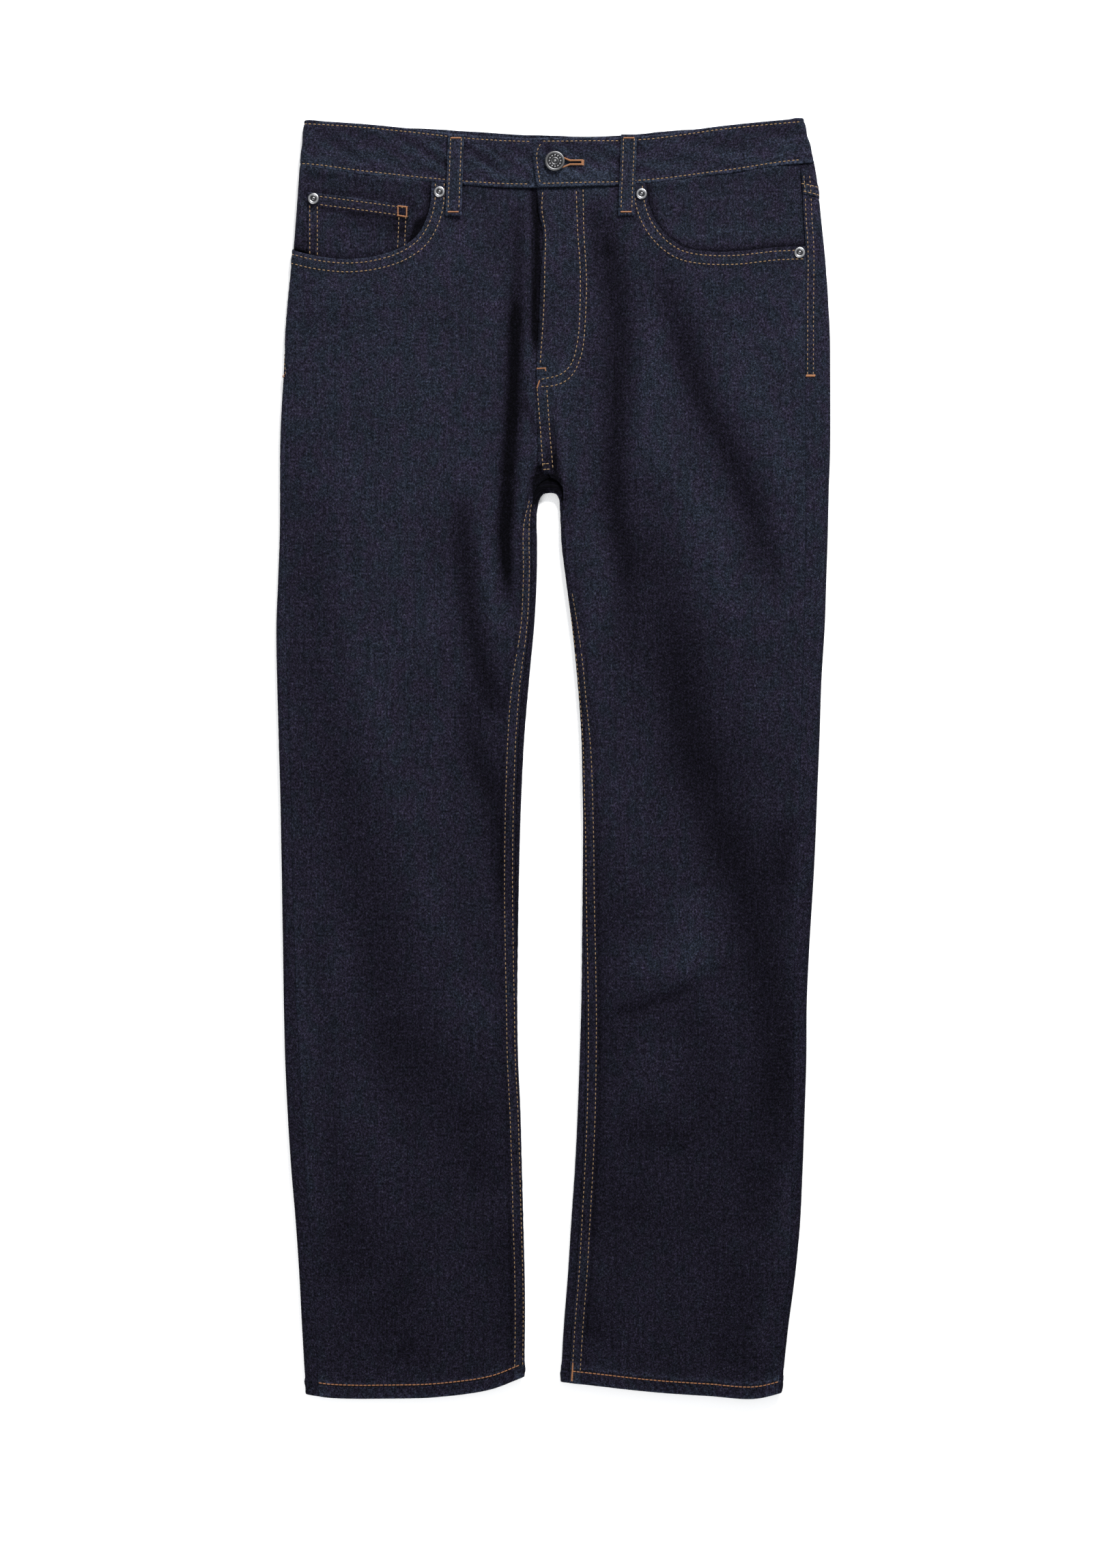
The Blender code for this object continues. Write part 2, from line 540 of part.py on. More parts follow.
def front_panel(leg, collection, material):
    rows, side_arcs, inner_arcs = front_grid(leg)
    start_x, start_y = edge_plan(rows, "outer", OUTER_ZONE)
    end_x, end_y = edge_plan(rows, "inner", INNER_ZONE)
    middle_x, middle_y = across(start_x, end_x, FRONT_SHARES), across(start_y, end_y, FRONT_SHARES)
    side = LEGS[leg]["side"]

    def leg_points(depth):
        outer = leg_edge(rows, "outer", side_arcs, depth)
        middle = top_point(middle_x, middle_y, depth)
        inner = leg_edge(rows, "inner", inner_arcs, depth)
        return np.concatenate([outer, middle, inner], axis=1)

    # The last section in the unrolled plan is the lower curve of the part above the crotch.
    side_x = rows["outer_x"][-1] - side * (side_arcs[-1] - QUARTER + EDGE_R)
    inner_y = rows["inner_y"][-1] + EDGE_R + inner_arcs[-1] - QUARTER
    crotch = np.concatenate([
        np.stack([side_x, np.full(len(side_x), rows["y"][-1])], axis=1),
        np.stack([middle_x[-1], middle_y[-1]], axis=1),
        np.stack([np.full(len(inner_y), rows["inner_x"][-1]), inner_y], axis=1),
    ])
    count = len(crotch)
    keep_columns = count - inner_arcs.shape[1] + 1
    lower = crotch[:keep_columns]
    upper = mouth_and_waist(leg, keep_columns)
    hip_y = HIP["y"][:SEAM_ROWS]
    hip_x = seam_x(leg, hip_y) - side * GAP / 2
    left_curve = np.stack([hip_x, hip_y], axis=1)
    left_curve[0] = lower[0]
    upper[0] = left_curve[-1]
    share = (hip_y - hip_y[0]) / (hip_y[-1] - hip_y[0])
    centre_y = lower[-1, 1] + share * (upper[-1, 1] - lower[-1, 1])
    if leg == "right":
        centre_x = lower[-1, 0] + (LAP_UNDER_X - lower[-1, 0]) * ease(share / 0.2)
    else:
        wanted = smooth_curve(FLY_EDGE, centre_y)
        centre_x = lower[-1, 0] + (wanted - lower[-1, 0]) * ease(share / 0.03)
    right_curve = np.stack([centre_x, centre_y], axis=1)
    right_curve[-1] = upper[-1]
    plan = coons(lower, upper, left_curve, right_curve, np.linspace(0, 1, keep_columns), share)

    def hip_points(depth):
        return hip_top_point(leg, plan[1:, :, 0], plan[1:, :, 1], depth)

    outer, inner = leg_points(0.0), leg_points(WALL)
    pad = count - keep_columns
    shape_rows = []
    for depth in (0.0, WALL):
        hip = hip_points(depth)
        shape_rows.append(np.concatenate([hip, np.repeat(hip[:, -1:], pad, axis=1)], axis=1))
    outer = np.concatenate([outer, shape_rows[0]])
    inner = np.concatenate([inner, shape_rows[1]])
    if leg == "left":
        rise = lap_rise(outer[..., 0], outer[..., 1])
        outer[..., 2] += rise
        inner[..., 2] += rise
    keep = np.ones((outer.shape[0] - 1, count - 1), bool)
    keep[len(rows["y"]) - 1:, keep_columns - 1:] = False
    return add_object("front_" + leg, wall_mesh("front_" + leg, outer, inner, keep), collection, material)


BACK_SHARES = (0.10, 0.27, 0.45, 0.63, 0.82)
YOKE_COLUMNS = 11


def yoke_seam_y(x):
    """The yoke seam climbs from the centre back to the side seam."""
    return YOKE_CENTRE_Y + (YOKE_SIDE_Y - YOKE_CENTRE_Y) * np.abs(x - CENTRE_X) / YOKE_HALF


def back_seam_x(leg, y):
    """The side seam's place on the unrolled lower layer, less half the seam's gap."""
    return hip_edge(leg, y) + LEGS[leg]["side"] * (hip_seam(leg, y) - GAP / 2 + QUARTER - EDGE_R)


def yoke_corner(leg):
    """Where the yoke seam meets the side seam, on the unrolled lower layer."""
    y = YOKE_SIDE_Y
    for _ in range(8):
        x = back_seam_x(leg, y)
        y = float(yoke_seam_y(x))
    return np.array([float(x), y])


def centre_back(leg):
    return CENTRE_X + LEGS[leg]["side"] * GAP / 2


def back_panel(leg, collection, material):
    rows = LEGS[leg]["rows"]
    side = LEGS[leg]["side"]
    fixed = (-4.9, -1.6, 1.6, 4.9)
    side_arcs = leg_arcs(rows, BACK_ZONE, fixed, rows["side_seam"] - GAP / 2, 1.2)[:, ::-1]
    inner_arcs = leg_arcs(rows, BACK_ZONE, fixed, rows["inseam"] - GAP / 2, 0.8)
    start_x, start_y = edge_plan(rows, "outer", BACK_ZONE)
    end_x, end_y = edge_plan(rows, "inner", BACK_ZONE)
    middle_x, middle_y = across(start_x, end_x, BACK_SHARES), across(start_y, end_y, BACK_SHARES)
    side_x = rows["outer_x"][-1] + side * (side_arcs[-1] + QUARTER - EDGE_R)
    lower = np.concatenate([
        np.stack([side_x, np.full(len(side_x), rows["y"][-1])], axis=1),
        np.stack([middle_x[-1], middle_y[-1]], axis=1),
        np.array([[end_x[-1], end_y[-1]]]),
    ])
    corner = yoke_corner(leg)
    shares = (lower[:, 0] - lower[0, 0]) / (lower[-1, 0] - lower[0, 0])
    upper_x = corner[0] + (centre_back(leg) - corner[0]) * shares
    upper = np.stack([upper_x, yoke_seam_y(upper_x) - GAP / 2], axis=1)
    knots = HIP["y"][HIP["y"] < corner[1] - 4.0]
    hip_y = np.append(knots, upper[0, 1])
    left_curve = np.stack([back_seam_x(leg, hip_y), hip_y], axis=1)
    upper[0] = left_curve[-1]
    share = (hip_y - hip_y[0]) / (hip_y[-1] - hip_y[0])
    centre_y = lower[-1, 1] + share * (upper[-1, 1] - lower[-1, 1])
    right_curve = np.stack([np.full(len(share), centre_back(leg)), centre_y], axis=1)
    plan = coons(lower, upper, left_curve, right_curve, shares, share)
    layers = []
    for depth in (0.0, WALL):
        outer = leg_edge(rows, "outer", side_arcs, depth)
        middle = bottom_point(middle_x, middle_y, depth)
        inner = leg_edge(rows, "inner", inner_arcs, depth)
        hip = hip_bottom_point(leg, plan[1:, :, 0], plan[1:, :, 1], depth)
        pad = inner.shape[1] - 1
        hip = np.concatenate([hip, np.repeat(hip[:, -1:], pad, axis=1)], axis=1)
        layers.append(np.concatenate([np.concatenate([outer, middle, inner], axis=1), hip]))
    keep = np.ones((layers[0].shape[0] - 1, layers[0].shape[1] - 1), bool)
    keep[len(rows["y"]) - 1:, len(lower) - 1:] = False
    name = "back_" + leg
    return add_object(name, wall_mesh(name, *layers, keep), collection, material)


def yoke(leg, collection, material):
    corner = yoke_corner(leg)
    side = LEGS[leg]["side"]
    start = hip_edge(leg, YOKE_SIDE_Y) - side * 14.2
    near_edge = np.linspace(corner[0], start, 7)[:-1]
    inside = back_columns(np.linspace(start, centre_back(leg), YOKE_COLUMNS))
    lower_x = np.concatenate([near_edge, inside])
    shares = (lower_x - lower_x[0]) / (lower_x[-1] - lower_x[0])
    lower = np.stack([lower_x, yoke_seam_y(lower_x) + GAP / 2], axis=1)
    top_x = back_seam_x(leg, smooth_curve(BACK_WAIST_SEAM, corner[0]))
    upper_x = top_x + (centre_back(leg) - top_x) * shares
    upper = np.stack([upper_x, smooth_curve(BACK_WAIST_SEAM, upper_x) - GAP / 2], axis=1)
    share = np.linspace(0, 1, 4)
    side_y = lower[0, 1] + share * (upper[0, 1] - lower[0, 1])
    left_curve = np.stack([back_seam_x(leg, side_y), side_y], axis=1)
    lower[0], upper[0] = left_curve[0], left_curve[-1]
    right_curve = lower[-1] + share[:, None] * (upper[-1] - lower[-1])
    plan = coons(lower, upper, left_curve, right_curve, shares, share)
    layers = [hip_bottom_point(leg, plan[..., 0], plan[..., 1], depth) for depth in (0.0, WALL)]
    name = "yoke_" + leg
    return add_object(name, wall_mesh(name, *layers), collection, material)


def facing_depth(leg, x):
    """How far the pocket's facing lies below the front, which it meets at the side seam."""
    if leg == "left":
        return np.full(np.shape(x), 1.9)
    return 0.1 + 3.0 * ease((x + 210.6) / 5.0) - 1.2 * ease((x + 120.6) / 6.0)


def facing(leg, collection, material):
    side = LEGS[leg]["side"]
    lower = np.array(FACING_RIGHT if leg == "right" else FACING_LEFT, float)
    upper = np.stack([lower[:, 0], smooth_curve(WAIST_SEAM, lower[:, 0]) - GAP / 2], axis=1)
    side_y = np.array([lower[0, 1], *[y for y in FACING_ROWS if y > lower[0, 1]], upper[0, 1]])
    left_curve = np.stack([seam_x(leg, side_y) - side * GAP / 2, side_y], axis=1)
    lower[0], upper[0] = left_curve[0], left_curve[-1]
    share = (side_y - side_y[0]) / (side_y[-1] - side_y[0])
    right_curve = lower[-1] + share[:, None] * (upper[-1] - lower[-1])
    shares = (lower[:, 0] - lower[0, 0]) / (lower[-1, 0] - lower[0, 0])
    plan = coons(lower, upper, left_curve, right_curve, shares, share)
    x, y = plan[..., 0], plan[..., 1]
    depth = facing_depth(leg, x)
    layers = [hip_top_point(leg, x, y, depth + more) for more in (0.0, WALL)]
    name = "pocket_facing_" + leg
    return add_object(name, wall_mesh(name, *layers), collection, material)


def coin_pocket(collection, material):
    u = np.linspace(0, 1, 7)[None, :]
    v = np.linspace(0, 1, 5)[:, None]
    x = COIN["left"] + (COIN["right"] - 2.5 * (1 - v) - COIN["left"]) * u
    top = COIN["top_left"] + (COIN["top_right"] - COIN["top_left"]) * u
    y = COIN["bottom"] + (top - COIN["bottom"]) * v
    seat = facing_depth("right", x) - GAP
    layers = [top_point(x, y, seat - COIN["wall"] + more) for more in (0.0, COIN["wall"])]
    return add_object("coin_pocket", wall_mesh("coin_pocket", *layers), collection, material)


def fly_zip(collection, material):
    """The zip's tape, closed, between the two fronts."""
    x = np.linspace(ZIP["left"], ZIP["right"], 4)[None, :] * np.ones((7, 1))
    y = np.linspace(ZIP["bottom"], ZIP["top"], 7)[:, None] * np.ones((1, 4))
    layers = [top_point(x, y, more) for more in (0.0, ZIP["wall"])]
    return add_object("fly_zip", wall_mesh("fly_zip", *layers), collection, material)


def band_top_z(x, y):
    return BAND_TOP + 0.0 * x * y


def over_rise(x):
    """The band's outer end rides over its inner end, then comes down beside it."""
    return BAND_OVER * (1 - ease((x - BAND_INNER_END_X - 2.0) / 24.0))


def band_columns(x, seam, top_edge, heights):
    """Heights along y for band columns in plan, between its seam and its top edge."""
    low = smooth_curve(seam, x) + GAP / 2
    high = smooth_curve(top_edge, x)
    return low[None, :] + (high - low)[None, :] * heights[:, None]


def band_front(x, heights, depth, rise):
    y = band_columns(x, WAIST_SEAM, BAND_FRONT_TOP, heights)
    x = x[None, :] * np.ones_like(y)
    return np.stack([x, y, band_top_z(x, y) + rise - depth], axis=-1)


def band_fold(leg, arcs, heights, depth):
    """The band's fold at a side, where it turns from the front to the back."""
    side = LEGS[leg]["side"]
    middle = hip_edge(leg, 512.0)
    y = band_columns(np.full(len(arcs), middle), WAIST_SEAM, BAND_FRONT_TOP, heights)
    arc = arcs[None, :] * np.ones_like(y)
    edge = hip_edge(leg, y)
    way = -side * np.ones_like(y)
    inside = edge + way * BAND_R
    return edge_point(edge, y, way, 0 * way, arc, depth, BAND_R, band_top_z(inside, y))


def back_columns(places):
    """Places across the back in their order, with those beside each loop added."""
    near = [x + away for _, x in BACK_LOOPS for away in LOOP_COLUMNS]
    clear = [x for x in places if min(abs(x - other) for other in near) > 2.5]
    order = np.sign(places[-1] - places[0])
    low, high = sorted((places[0], places[-1]))
    near = [x for x in near if low < x < high]
    return np.array(sorted(set(clear + near), key=lambda x: order * x))


def waistband(collection, material):
    heights = np.linspace(0, 1, 4)
    over_x = np.concatenate([[0.0, -8.0, 1.0, 10.0, 19.0, 29.2, 36.0, 43.0, 53.2], np.linspace(68, 196, 9)])
    under_x = np.concatenate([np.linspace(-190, 12, 14), [BAND_INNER_END_X]])
    back_x = back_columns(np.linspace(198, -192, 20))
    arcs = np.array([9.0, 5.65, 2.8, 0.0, -2.8, -5.65, -9.0])
    layers = []
    for depth in (0.0, BAND_WALL):
        over = band_front(over_x, heights, depth, over_rise(over_x)[None, :])
        over[:, 0, 0] = smooth_curve(BAND_END_EDGE, over[:, 1, 1])
        over[:, 0, 2] = over[:, 1, 2]
        under = band_front(under_x, heights, depth, 0.0)
        y = band_columns(back_x, BACK_WAIST_SEAM, BAND_BACK_TOP, heights)
        x = back_x[None, :] * np.ones_like(y)
        back = np.stack([x, y, back_z(x, y) + depth], axis=-1)
        left = band_fold("left", arcs, heights, depth)
        right = band_fold("right", -arcs, heights, depth)
        layers.append(np.concatenate([over, left, back, right, under], axis=1))
    return add_object("waistband", wall_mesh("waistband", *layers), collection, material)


def keyhole_outline():
    """The buttonhole: a long eye, and a narrow slot that runs from it."""
    hole = BUTTON_HOLE
    start = math.asin(hole["slot_half"] / hole["radius"])
    turns = np.concatenate([
        np.linspace(start, math.pi / 2, 4),
        np.linspace(math.pi / 2, 3 * math.pi / 2, 8),
        np.linspace(3 * math.pi / 2, 2 * math.pi - start, 4),
    ])
    centres = [hole["end"]] * 4 + [hole["start"]] * 8 + [hole["end"]] * 4
    outline = [
        (x + hole["radius"] * math.cos(turn), hole["y"] + hole["radius"] * math.sin(turn))
        for x, turn in zip(centres, turns)
    ]
    outline += [(hole["slot_end"], hole["y"] - hole["slot_half"])]
    return outline + [(hole["slot_end"], hole["y"] + hole["slot_half"])]


def cut_buttonhole(band, cutters):
    outline = keyhole_outline()
    low = float(band_top_z(*BUTTON_AT)) + GAP / 2
    work = bmesh.new()
    face = work.faces.new([work.verts.new(Vector((x, y, low)) * MM) for x, y in outline])
    made = bmesh.ops.extrude_face_region(work, geom=[face])
    raised = [item for item in made["geom"] if isinstance(item, bmesh.types.BMVert)]
    bmesh.ops.translate(work, verts=raised, vec=Vector((0, 0, 3 * BAND_WALL * MM)))
    bmesh.ops.recalc_face_normals(work, faces=work.faces[:])
    mesh = bpy.data.meshes.new("buttonhole_cutter")
    work.to_mesh(mesh)
    work.free()
    cutter = bpy.data.objects.new("buttonhole_cutter", mesh)
    cutters.objects.link(cutter)
    cutter.hide_render = True
    cutter.display_type = "WIRE"
    cut = band.modifiers.new("buttonhole", "BOOLEAN")
    cut.operation = "DIFFERENCE"
    cut.solver = "EXACT"
    cut.object = cutter


def front_loop(name, top_x, bottom_x, collection, material):
    """A folded strip from the band's upper edge down on to the front."""
    y = np.array([LOOP_TOP_Y, 505.0, 490.0, 474.5, 466.0, 459.0, LOOP_BOTTOM_Y])
    middle = bottom_x + (top_x - bottom_x) * (y - LOOP_BOTTOM_Y) / (LOOP_TOP_Y - LOOP_BOTTOM_Y)
    x = middle[:, None] + np.linspace(-0.5, 0.5, 3)[None, :] * LOOP_WIDTH
    y = y[:, None] * np.ones_like(x)
    rise = lap_rise(x, y) if middle[0] > 0 else 0.0
    seat = np.where(y > 470, np.maximum(band_top_z(x, y), top_z(x, y) + rise), top_z(x, y) + rise)
    seat = seat.max(axis=1, keepdims=True) * np.ones_like(x) + GAP
    layers = [np.stack([x, y, seat + more], axis=-1) for more in (LOOP_WALL, 0.0)]
    return add_object(name, wall_mesh(name, *layers), collection, material)


def flat_piece(name, outline, wall, collection, material):
    """A flat outline lying on the surface under the back."""
    curve = bpy.data.curves.new(name, "CURVE")
    curve.dimensions = "2D"
    curve.fill_mode = "BOTH"
    curve.extrude = wall * MM / 2
    spline = curve.splines.new("POLY")
    spline.points.add(len(outline) - 1)
    for point, (x, y) in zip(spline.points, outline):
        point.co = (x * MM, y * MM, 0.0, 1.0)
    spline.use_cyclic_u = True
    obj = bpy.data.objects.new(name, curve)
    obj.location.z = wall * MM / 2
    collection.objects.link(obj)
    curve.materials.append(material)
    return obj


def back_loop(name, x, collection, material):
    top = float(smooth_curve(BAND_BACK_TOP, x)) - 1.5
    bottom = top - (LOOP_TOP_Y - LOOP_BOTTOM_Y)
    half = LOOP_WIDTH / 2
    outline = [(x - half, bottom), (x + half, bottom), (x + half, top), (x - half, top)]
    return flat_piece(name, outline, LOOP_WALL, collection, material)


def back_pocket(name, x, collection, material):
    shape = BACK_POCKET
    outline = [
        (x, shape["tip_y"]), (x + shape["low_half"], shape["corner_y"]),
        (x + shape["top_half"], shape["top_y"]), (x - shape["top_half"], shape["top_y"]),
        (x - shape["low_half"], shape["corner_y"]),
    ]
    return flat_piece(name, outline, shape["wall"], collection, material)


def turned(name, profile, place, steps, collection, material):
    """A profile of (radius, height) from the top down, turned about +Z."""
    mesh = bpy.data.meshes.new(name)
    points = [(radius * MM, 0.0, height * MM) for radius, height in profile]
    mesh.from_pydata(points, [(i, i + 1) for i in range(len(points) - 1)], [])
    obj = bpy.data.objects.new(name, mesh)
    collection.objects.link(obj)
    mesh.materials.append(material)
    obj.location = Vector(place) * MM
    screw = obj.modifiers.new("turn", "SCREW")
    screw.axis = "Z"
    screw.steps = steps
    screw.render_steps = steps
    screw.use_merge_vertices = True
    screw.merge_threshold = 0.00001
    screw.use_smooth_shade = True
    return obj


def rivet(name, x, y, depth, collection, material):
    ring = [(-1, -1), (-1, 1), (1, -1), (1, 1), (0, 0)]
    near = [(x + 3.4 * a, y + 3.4 * b) for a, b in ring]
    seat = max(float(top_z(np.array(a), np.array(b))) for a, b in near) - depth + GAP
    r = RIVET_R
    profile = [(0, 1.9), (1.3, 1.7), (1.9, 1.15), (2.9, 1.2), (3.9, 1.45), (r, 0.8), (r, 0), (0, 0)]
    return turned(name, profile, (x, y, seat), 16, collection, material)


def waist_button(collection, material):
    x, y = BUTTON_AT
    seat = float(band_top_z(np.array(x), np.array(y)))
    cap = BAND_OVER + 2 * GAP
    r = BUTTON_R
    profile = [
        (0, cap + 2.0), (r - 2.6, cap + 1.9), (r - 1.7, cap + 2.4), (r - 0.5, cap + 2.3),
        (r, cap + 1.6), (r - 0.2, cap + 0.6), (r - 1.0, cap), (SHANK_R, cap),
        (SHANK_R, GAP), (0, GAP),
    ]
    return turned("waist_button", profile, (x, y, seat), 24, collection, material)


def main():
    clear_scene()
    parts = new_collection("straight_leg_jeans")
    cutters = new_collection("cutters")
    materials = {name: make_material(name) for name in COLOURS}
    denim = materials["denim"]
    for leg in ("right", "left"):
        front_panel(leg, parts, denim)
        back_panel(leg, parts, denim)
        yoke(leg, parts, denim)
        facing(leg, parts, denim)
    coin_pocket(parts, denim)
    fly_zip(parts, materials["zip_tape"])
    band = waistband(parts, materials["denim_band"])
    cut_buttonhole(band, cutters)
    for name, top_x, bottom_x in FRONT_LOOPS:
        front_loop(name, top_x, bottom_x, parts, materials["denim_band"])
    for name, x in BACK_LOOPS:
        back_loop(name, x, parts, materials["denim_band"])
    for name, x in BACK_POCKETS:
        back_pocket(name, x, parts, denim)
    for row in RIVETS:
        rivet(*row, parts, materials["nickel"])
    waist_button(parts, materials["antique_nickel"])


main()
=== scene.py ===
import math
from types import SimpleNamespace

import bpy
import numpy as np
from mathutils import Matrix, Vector
from mathutils.bvhtree import BVHTree


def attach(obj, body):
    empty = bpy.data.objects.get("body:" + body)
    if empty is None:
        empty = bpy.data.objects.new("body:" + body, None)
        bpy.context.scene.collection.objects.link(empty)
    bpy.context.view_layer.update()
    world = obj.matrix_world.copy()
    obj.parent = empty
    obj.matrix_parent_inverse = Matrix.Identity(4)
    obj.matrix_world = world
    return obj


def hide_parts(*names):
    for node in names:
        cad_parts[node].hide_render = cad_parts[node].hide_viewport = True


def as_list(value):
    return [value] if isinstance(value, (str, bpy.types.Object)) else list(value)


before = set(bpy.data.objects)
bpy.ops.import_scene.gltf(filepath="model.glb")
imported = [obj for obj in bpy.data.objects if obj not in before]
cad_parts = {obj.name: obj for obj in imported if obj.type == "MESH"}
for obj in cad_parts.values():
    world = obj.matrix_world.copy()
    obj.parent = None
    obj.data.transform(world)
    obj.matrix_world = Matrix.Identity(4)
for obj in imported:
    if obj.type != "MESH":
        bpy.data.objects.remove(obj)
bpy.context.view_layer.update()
print("frame loaded:", len(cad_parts), "nodes")

# The jeans lie front up. +X is the wearer's left, +Y the waist. Lengths are millimetres
# up to the meshes, which are made in metres.
mm = 0.001

cloth = {
    "wall": 1.3,          # denim with its finish
    "edgeRadius": 3.1,    # how tightly a side of the leg is folded
    "upperFace": 6.2,     # the upper layer's outer face above the floor
    "lowest": 3.1,        # where a trough of the upper layer stops
    "gap": 0.3,           # left between pieces at a seam
    "centreX": -3.2,      # centre back seam
    "outerZone": 30.0,    # arc lengths from an edge where a panel's columns change over
    "innerZone": 16.0,
    "backZone": -16.0,
    "legCell": 3.3,       # sides of the mesh cells
    "hipCell": 1.5,
    "backCell": 5.0,
    "frontColumns": (22, 84, 14),  # round the outer edge, straight across, round the inner edge
    "frontCrowding": (0.65, 0.4),  # how much closer the columns stand at the two seams
    "backColumns": (20, 60, 16),
}
edgeRadius = cloth["edgeRadius"]
quarter = edgeRadius * math.pi / 2
halfGap = cloth["gap"] / 2
tuck = 0.8 * halfGap  # how far a back runs on into its seams, so that no light comes through

# A row for each section of the legs from the hem up: its height; then for the right leg and for the
# left the outer edge, the side seam's place round it, the inner edge and the inseam's place.
sections = (
    (-530.0, -206.3, 12.5, -24.6, 1.0, 190.2, 4.8, 6.0, 8.8),
    (-518.6, -207.3, 12.6, -24.4, 1.0, 191.2, 5.0, 6.4, 8.8),
    (-516.6, -207.5, 12.6, -24.4, 1.0, 191.4, 5.0, 6.5, 8.8),
    (-475.0, -210.0, 13.4, -24.0, 1.0, 195.8, 6.6, 8.7, 9.0),
    (-430.0, -212.3, 13.7, -24.2, 1.2, 201.6, 7.2, 11.8, 9.0),
    (-385.0, -215.4, 13.5, -25.2, 1.5, 205.8, 9.8, 14.7, 8.6),
    (-340.0, -219.2, 13.5, -26.4, 1.5, 207.9, 11.2, 17.8, 8.0),
    (-295.0, -222.0, 14.0, -27.6, 1.8, 209.5, 11.5, 20.0, 7.6),
    (-250.0, -224.1, 14.0, -29.6, 2.0, 210.9, 12.5, 21.6, 6.8),
    (-205.0, -225.2, 12.4, -30.2, 2.2, 211.3, 13.0, 23.0, 5.5),
    (-160.0, -225.8, 11.8, -29.8, 3.5, 213.2, 14.2, 23.6, 4.2),
    (-115.0, -226.6, 11.0, -29.1, 4.8, 216.0, 15.3, 24.0, 2.8),
    (-70.0, -227.4, 10.7, -28.2, 5.5, 218.5, 16.0, 24.4, 2.0),
    (-25.0, -228.3, 10.7, -26.6, 6.1, 220.2, 17.0, 24.2, 1.0),
    (20.0, -229.6, 10.6, -24.2, 6.8, 222.0, 17.8, 23.2, 0.8),
    (65.0, -230.8, 10.5, -20.4, 7.2, 223.5, 18.2, 20.0, 0.8),
    (110.0, -231.4, 9.5, -16.2, 6.2, 226.3, 19.5, 15.2, 1.5),
    (150.0, -229.9, 8.0, -14.0, 6.5, 227.7, 20.0, 10.2, 1.0),
    (180.0, -228.8, 6.6, -13.7, 7.0, 228.7, 20.5, 6.6, 1.0),
    (198.0, -228.5, 6.2, -14.0, 6.5, 229.1, 20.8, 5.5, 2.6),
    (215.0, -228.3, 6.0, -12.0, 7.0, 229.5, 21.2, 4.6, 5.0),
    (225.0, -228.4, 6.0, -8.4, 10.0, 229.7, 21.6, 1.8, 10.0),
    (232.0, -228.4, 6.0, -3.05, 14.3, 229.9, 21.8, -3.05, 14.3),
)
# At the crotch the inner edges turn: by height, the edge's own height and each leg's way in, in degrees.
turns = {
    198.0: (202.0, 178, 5),
    215.0: (215.0, 160, 20),
    225.0: (220.6, 125, 55),
    232.0: (221.5, 90, 90),
}
legColumns = ("y", "outerX", "sideSeam", "innerX", "inseam", "innerY", "inward")
legTables = {"right": [], "left": []}
for y, *values in sections:
    innerY, *ways = turns.get(y, (y, 180, 0))
    legTables["right"].append((y, *values[:4], innerY, ways[0]))
    legTables["left"].append((y, *values[4:], innerY, ways[1]))
sideOf = {"right": -1, "left": 1}

# The outer edge and the side seam above the crotch.
hipColumns = ("y", "right", "rightSeam", "left", "leftSeam")
hips = (
    (232.0, -228.4, 6.0, 229.9, 21.8),
    (238.0, -228.4, 6.1, 230.2, 22.1),
    (262.0, -228.2, 6.6, 230.9, 22.9),
    (292.0, -227.0, 7.2, 231.0, 23.0),
    (320.0, -225.3, 5.4, 230.9, 22.9),
    (350.0, -224.0, -1.2, 230.6, 22.6),
    (385.0, -221.2, -5.4, 229.0, 20.8),
    (427.0, -216.9, -6.8, 225.7, 17.4),
    (447.0, -215.3, -7.4, 223.6, 16.6),
    (492.0, -212.0, -8.4, 218.3, 14.3),
    (533.0, -208.0, -8.4, 208.6, 14.3),
)
mouthLowY = 427.0  # a front pocket's mouth leaves the side seam here
crotchY = 232.0    # the legs' last row
hemLine = 530.0    # the hems lie at minus this height before they follow their curve
farAway = 99.0     # stands for no seam near
fullTurn = 6.283   # radians in one wave

# Curves across the garment, each a short list of (x, y).
hems = {
    "right": ((-207, -529.6), (-186, -532.6), (-140, -533.4), (-97, -532.0), (-52, -525.6), (-25, -515.2)),
    "left": ((6, -519.4), (40, -523.3), (85, -528.2), (130, -531.2), (168, -533.4), (191, -528.4)),
}
waistSeam = (
    (-228, 491.0), (-212, 492.4), (-158, 486.2), (-97, 479.7), (-36, 475.6),
    (15, 476.0), (78, 478.9), (142, 486.8), (218, 496.0), (236, 494.0),
)
backWaistSeam = (
    (-228, 491.0), (-212, 492.4), (-160, 487.4), (-112, 484.9), (-63, 482.2), (-29, 480.0),
    (8, 478.7), (40, 478.7), (99, 482.9), (142, 487.6), (218, 496.0), (240, 493.6),
)
bandTop = (
    (-228, 533.0), (-208, 531.8), (-158, 528.6), (-112, 524.0), (-72, 519.5),
    (-18, 516.8), (28, 517.0), (78, 518.8), (142, 527.2), (207, 533.3), (224, 534.2),
)
bandBackTop = (
    (-228, 533.0), (-208, 531.8), (-112, 525.3), (-63, 522.7), (-29, 520.4),
    (8, 519.0), (40, 519.0), (99, 523.3), (142, 527.2), (207, 533.3), (224, 534.2),
)
flyEdge = (
    (234, -12.8), (283, -13.4), (326, -14.2), (362, -12.6), (404, -10.6),
    (436, -8.6), (456, -12.6), (476, -14.0),
)  # height, then x
bandEndEdge = ((475, -13.8), (490, -16.2), (503, -17.2), (517, -12.8))  # height, then x
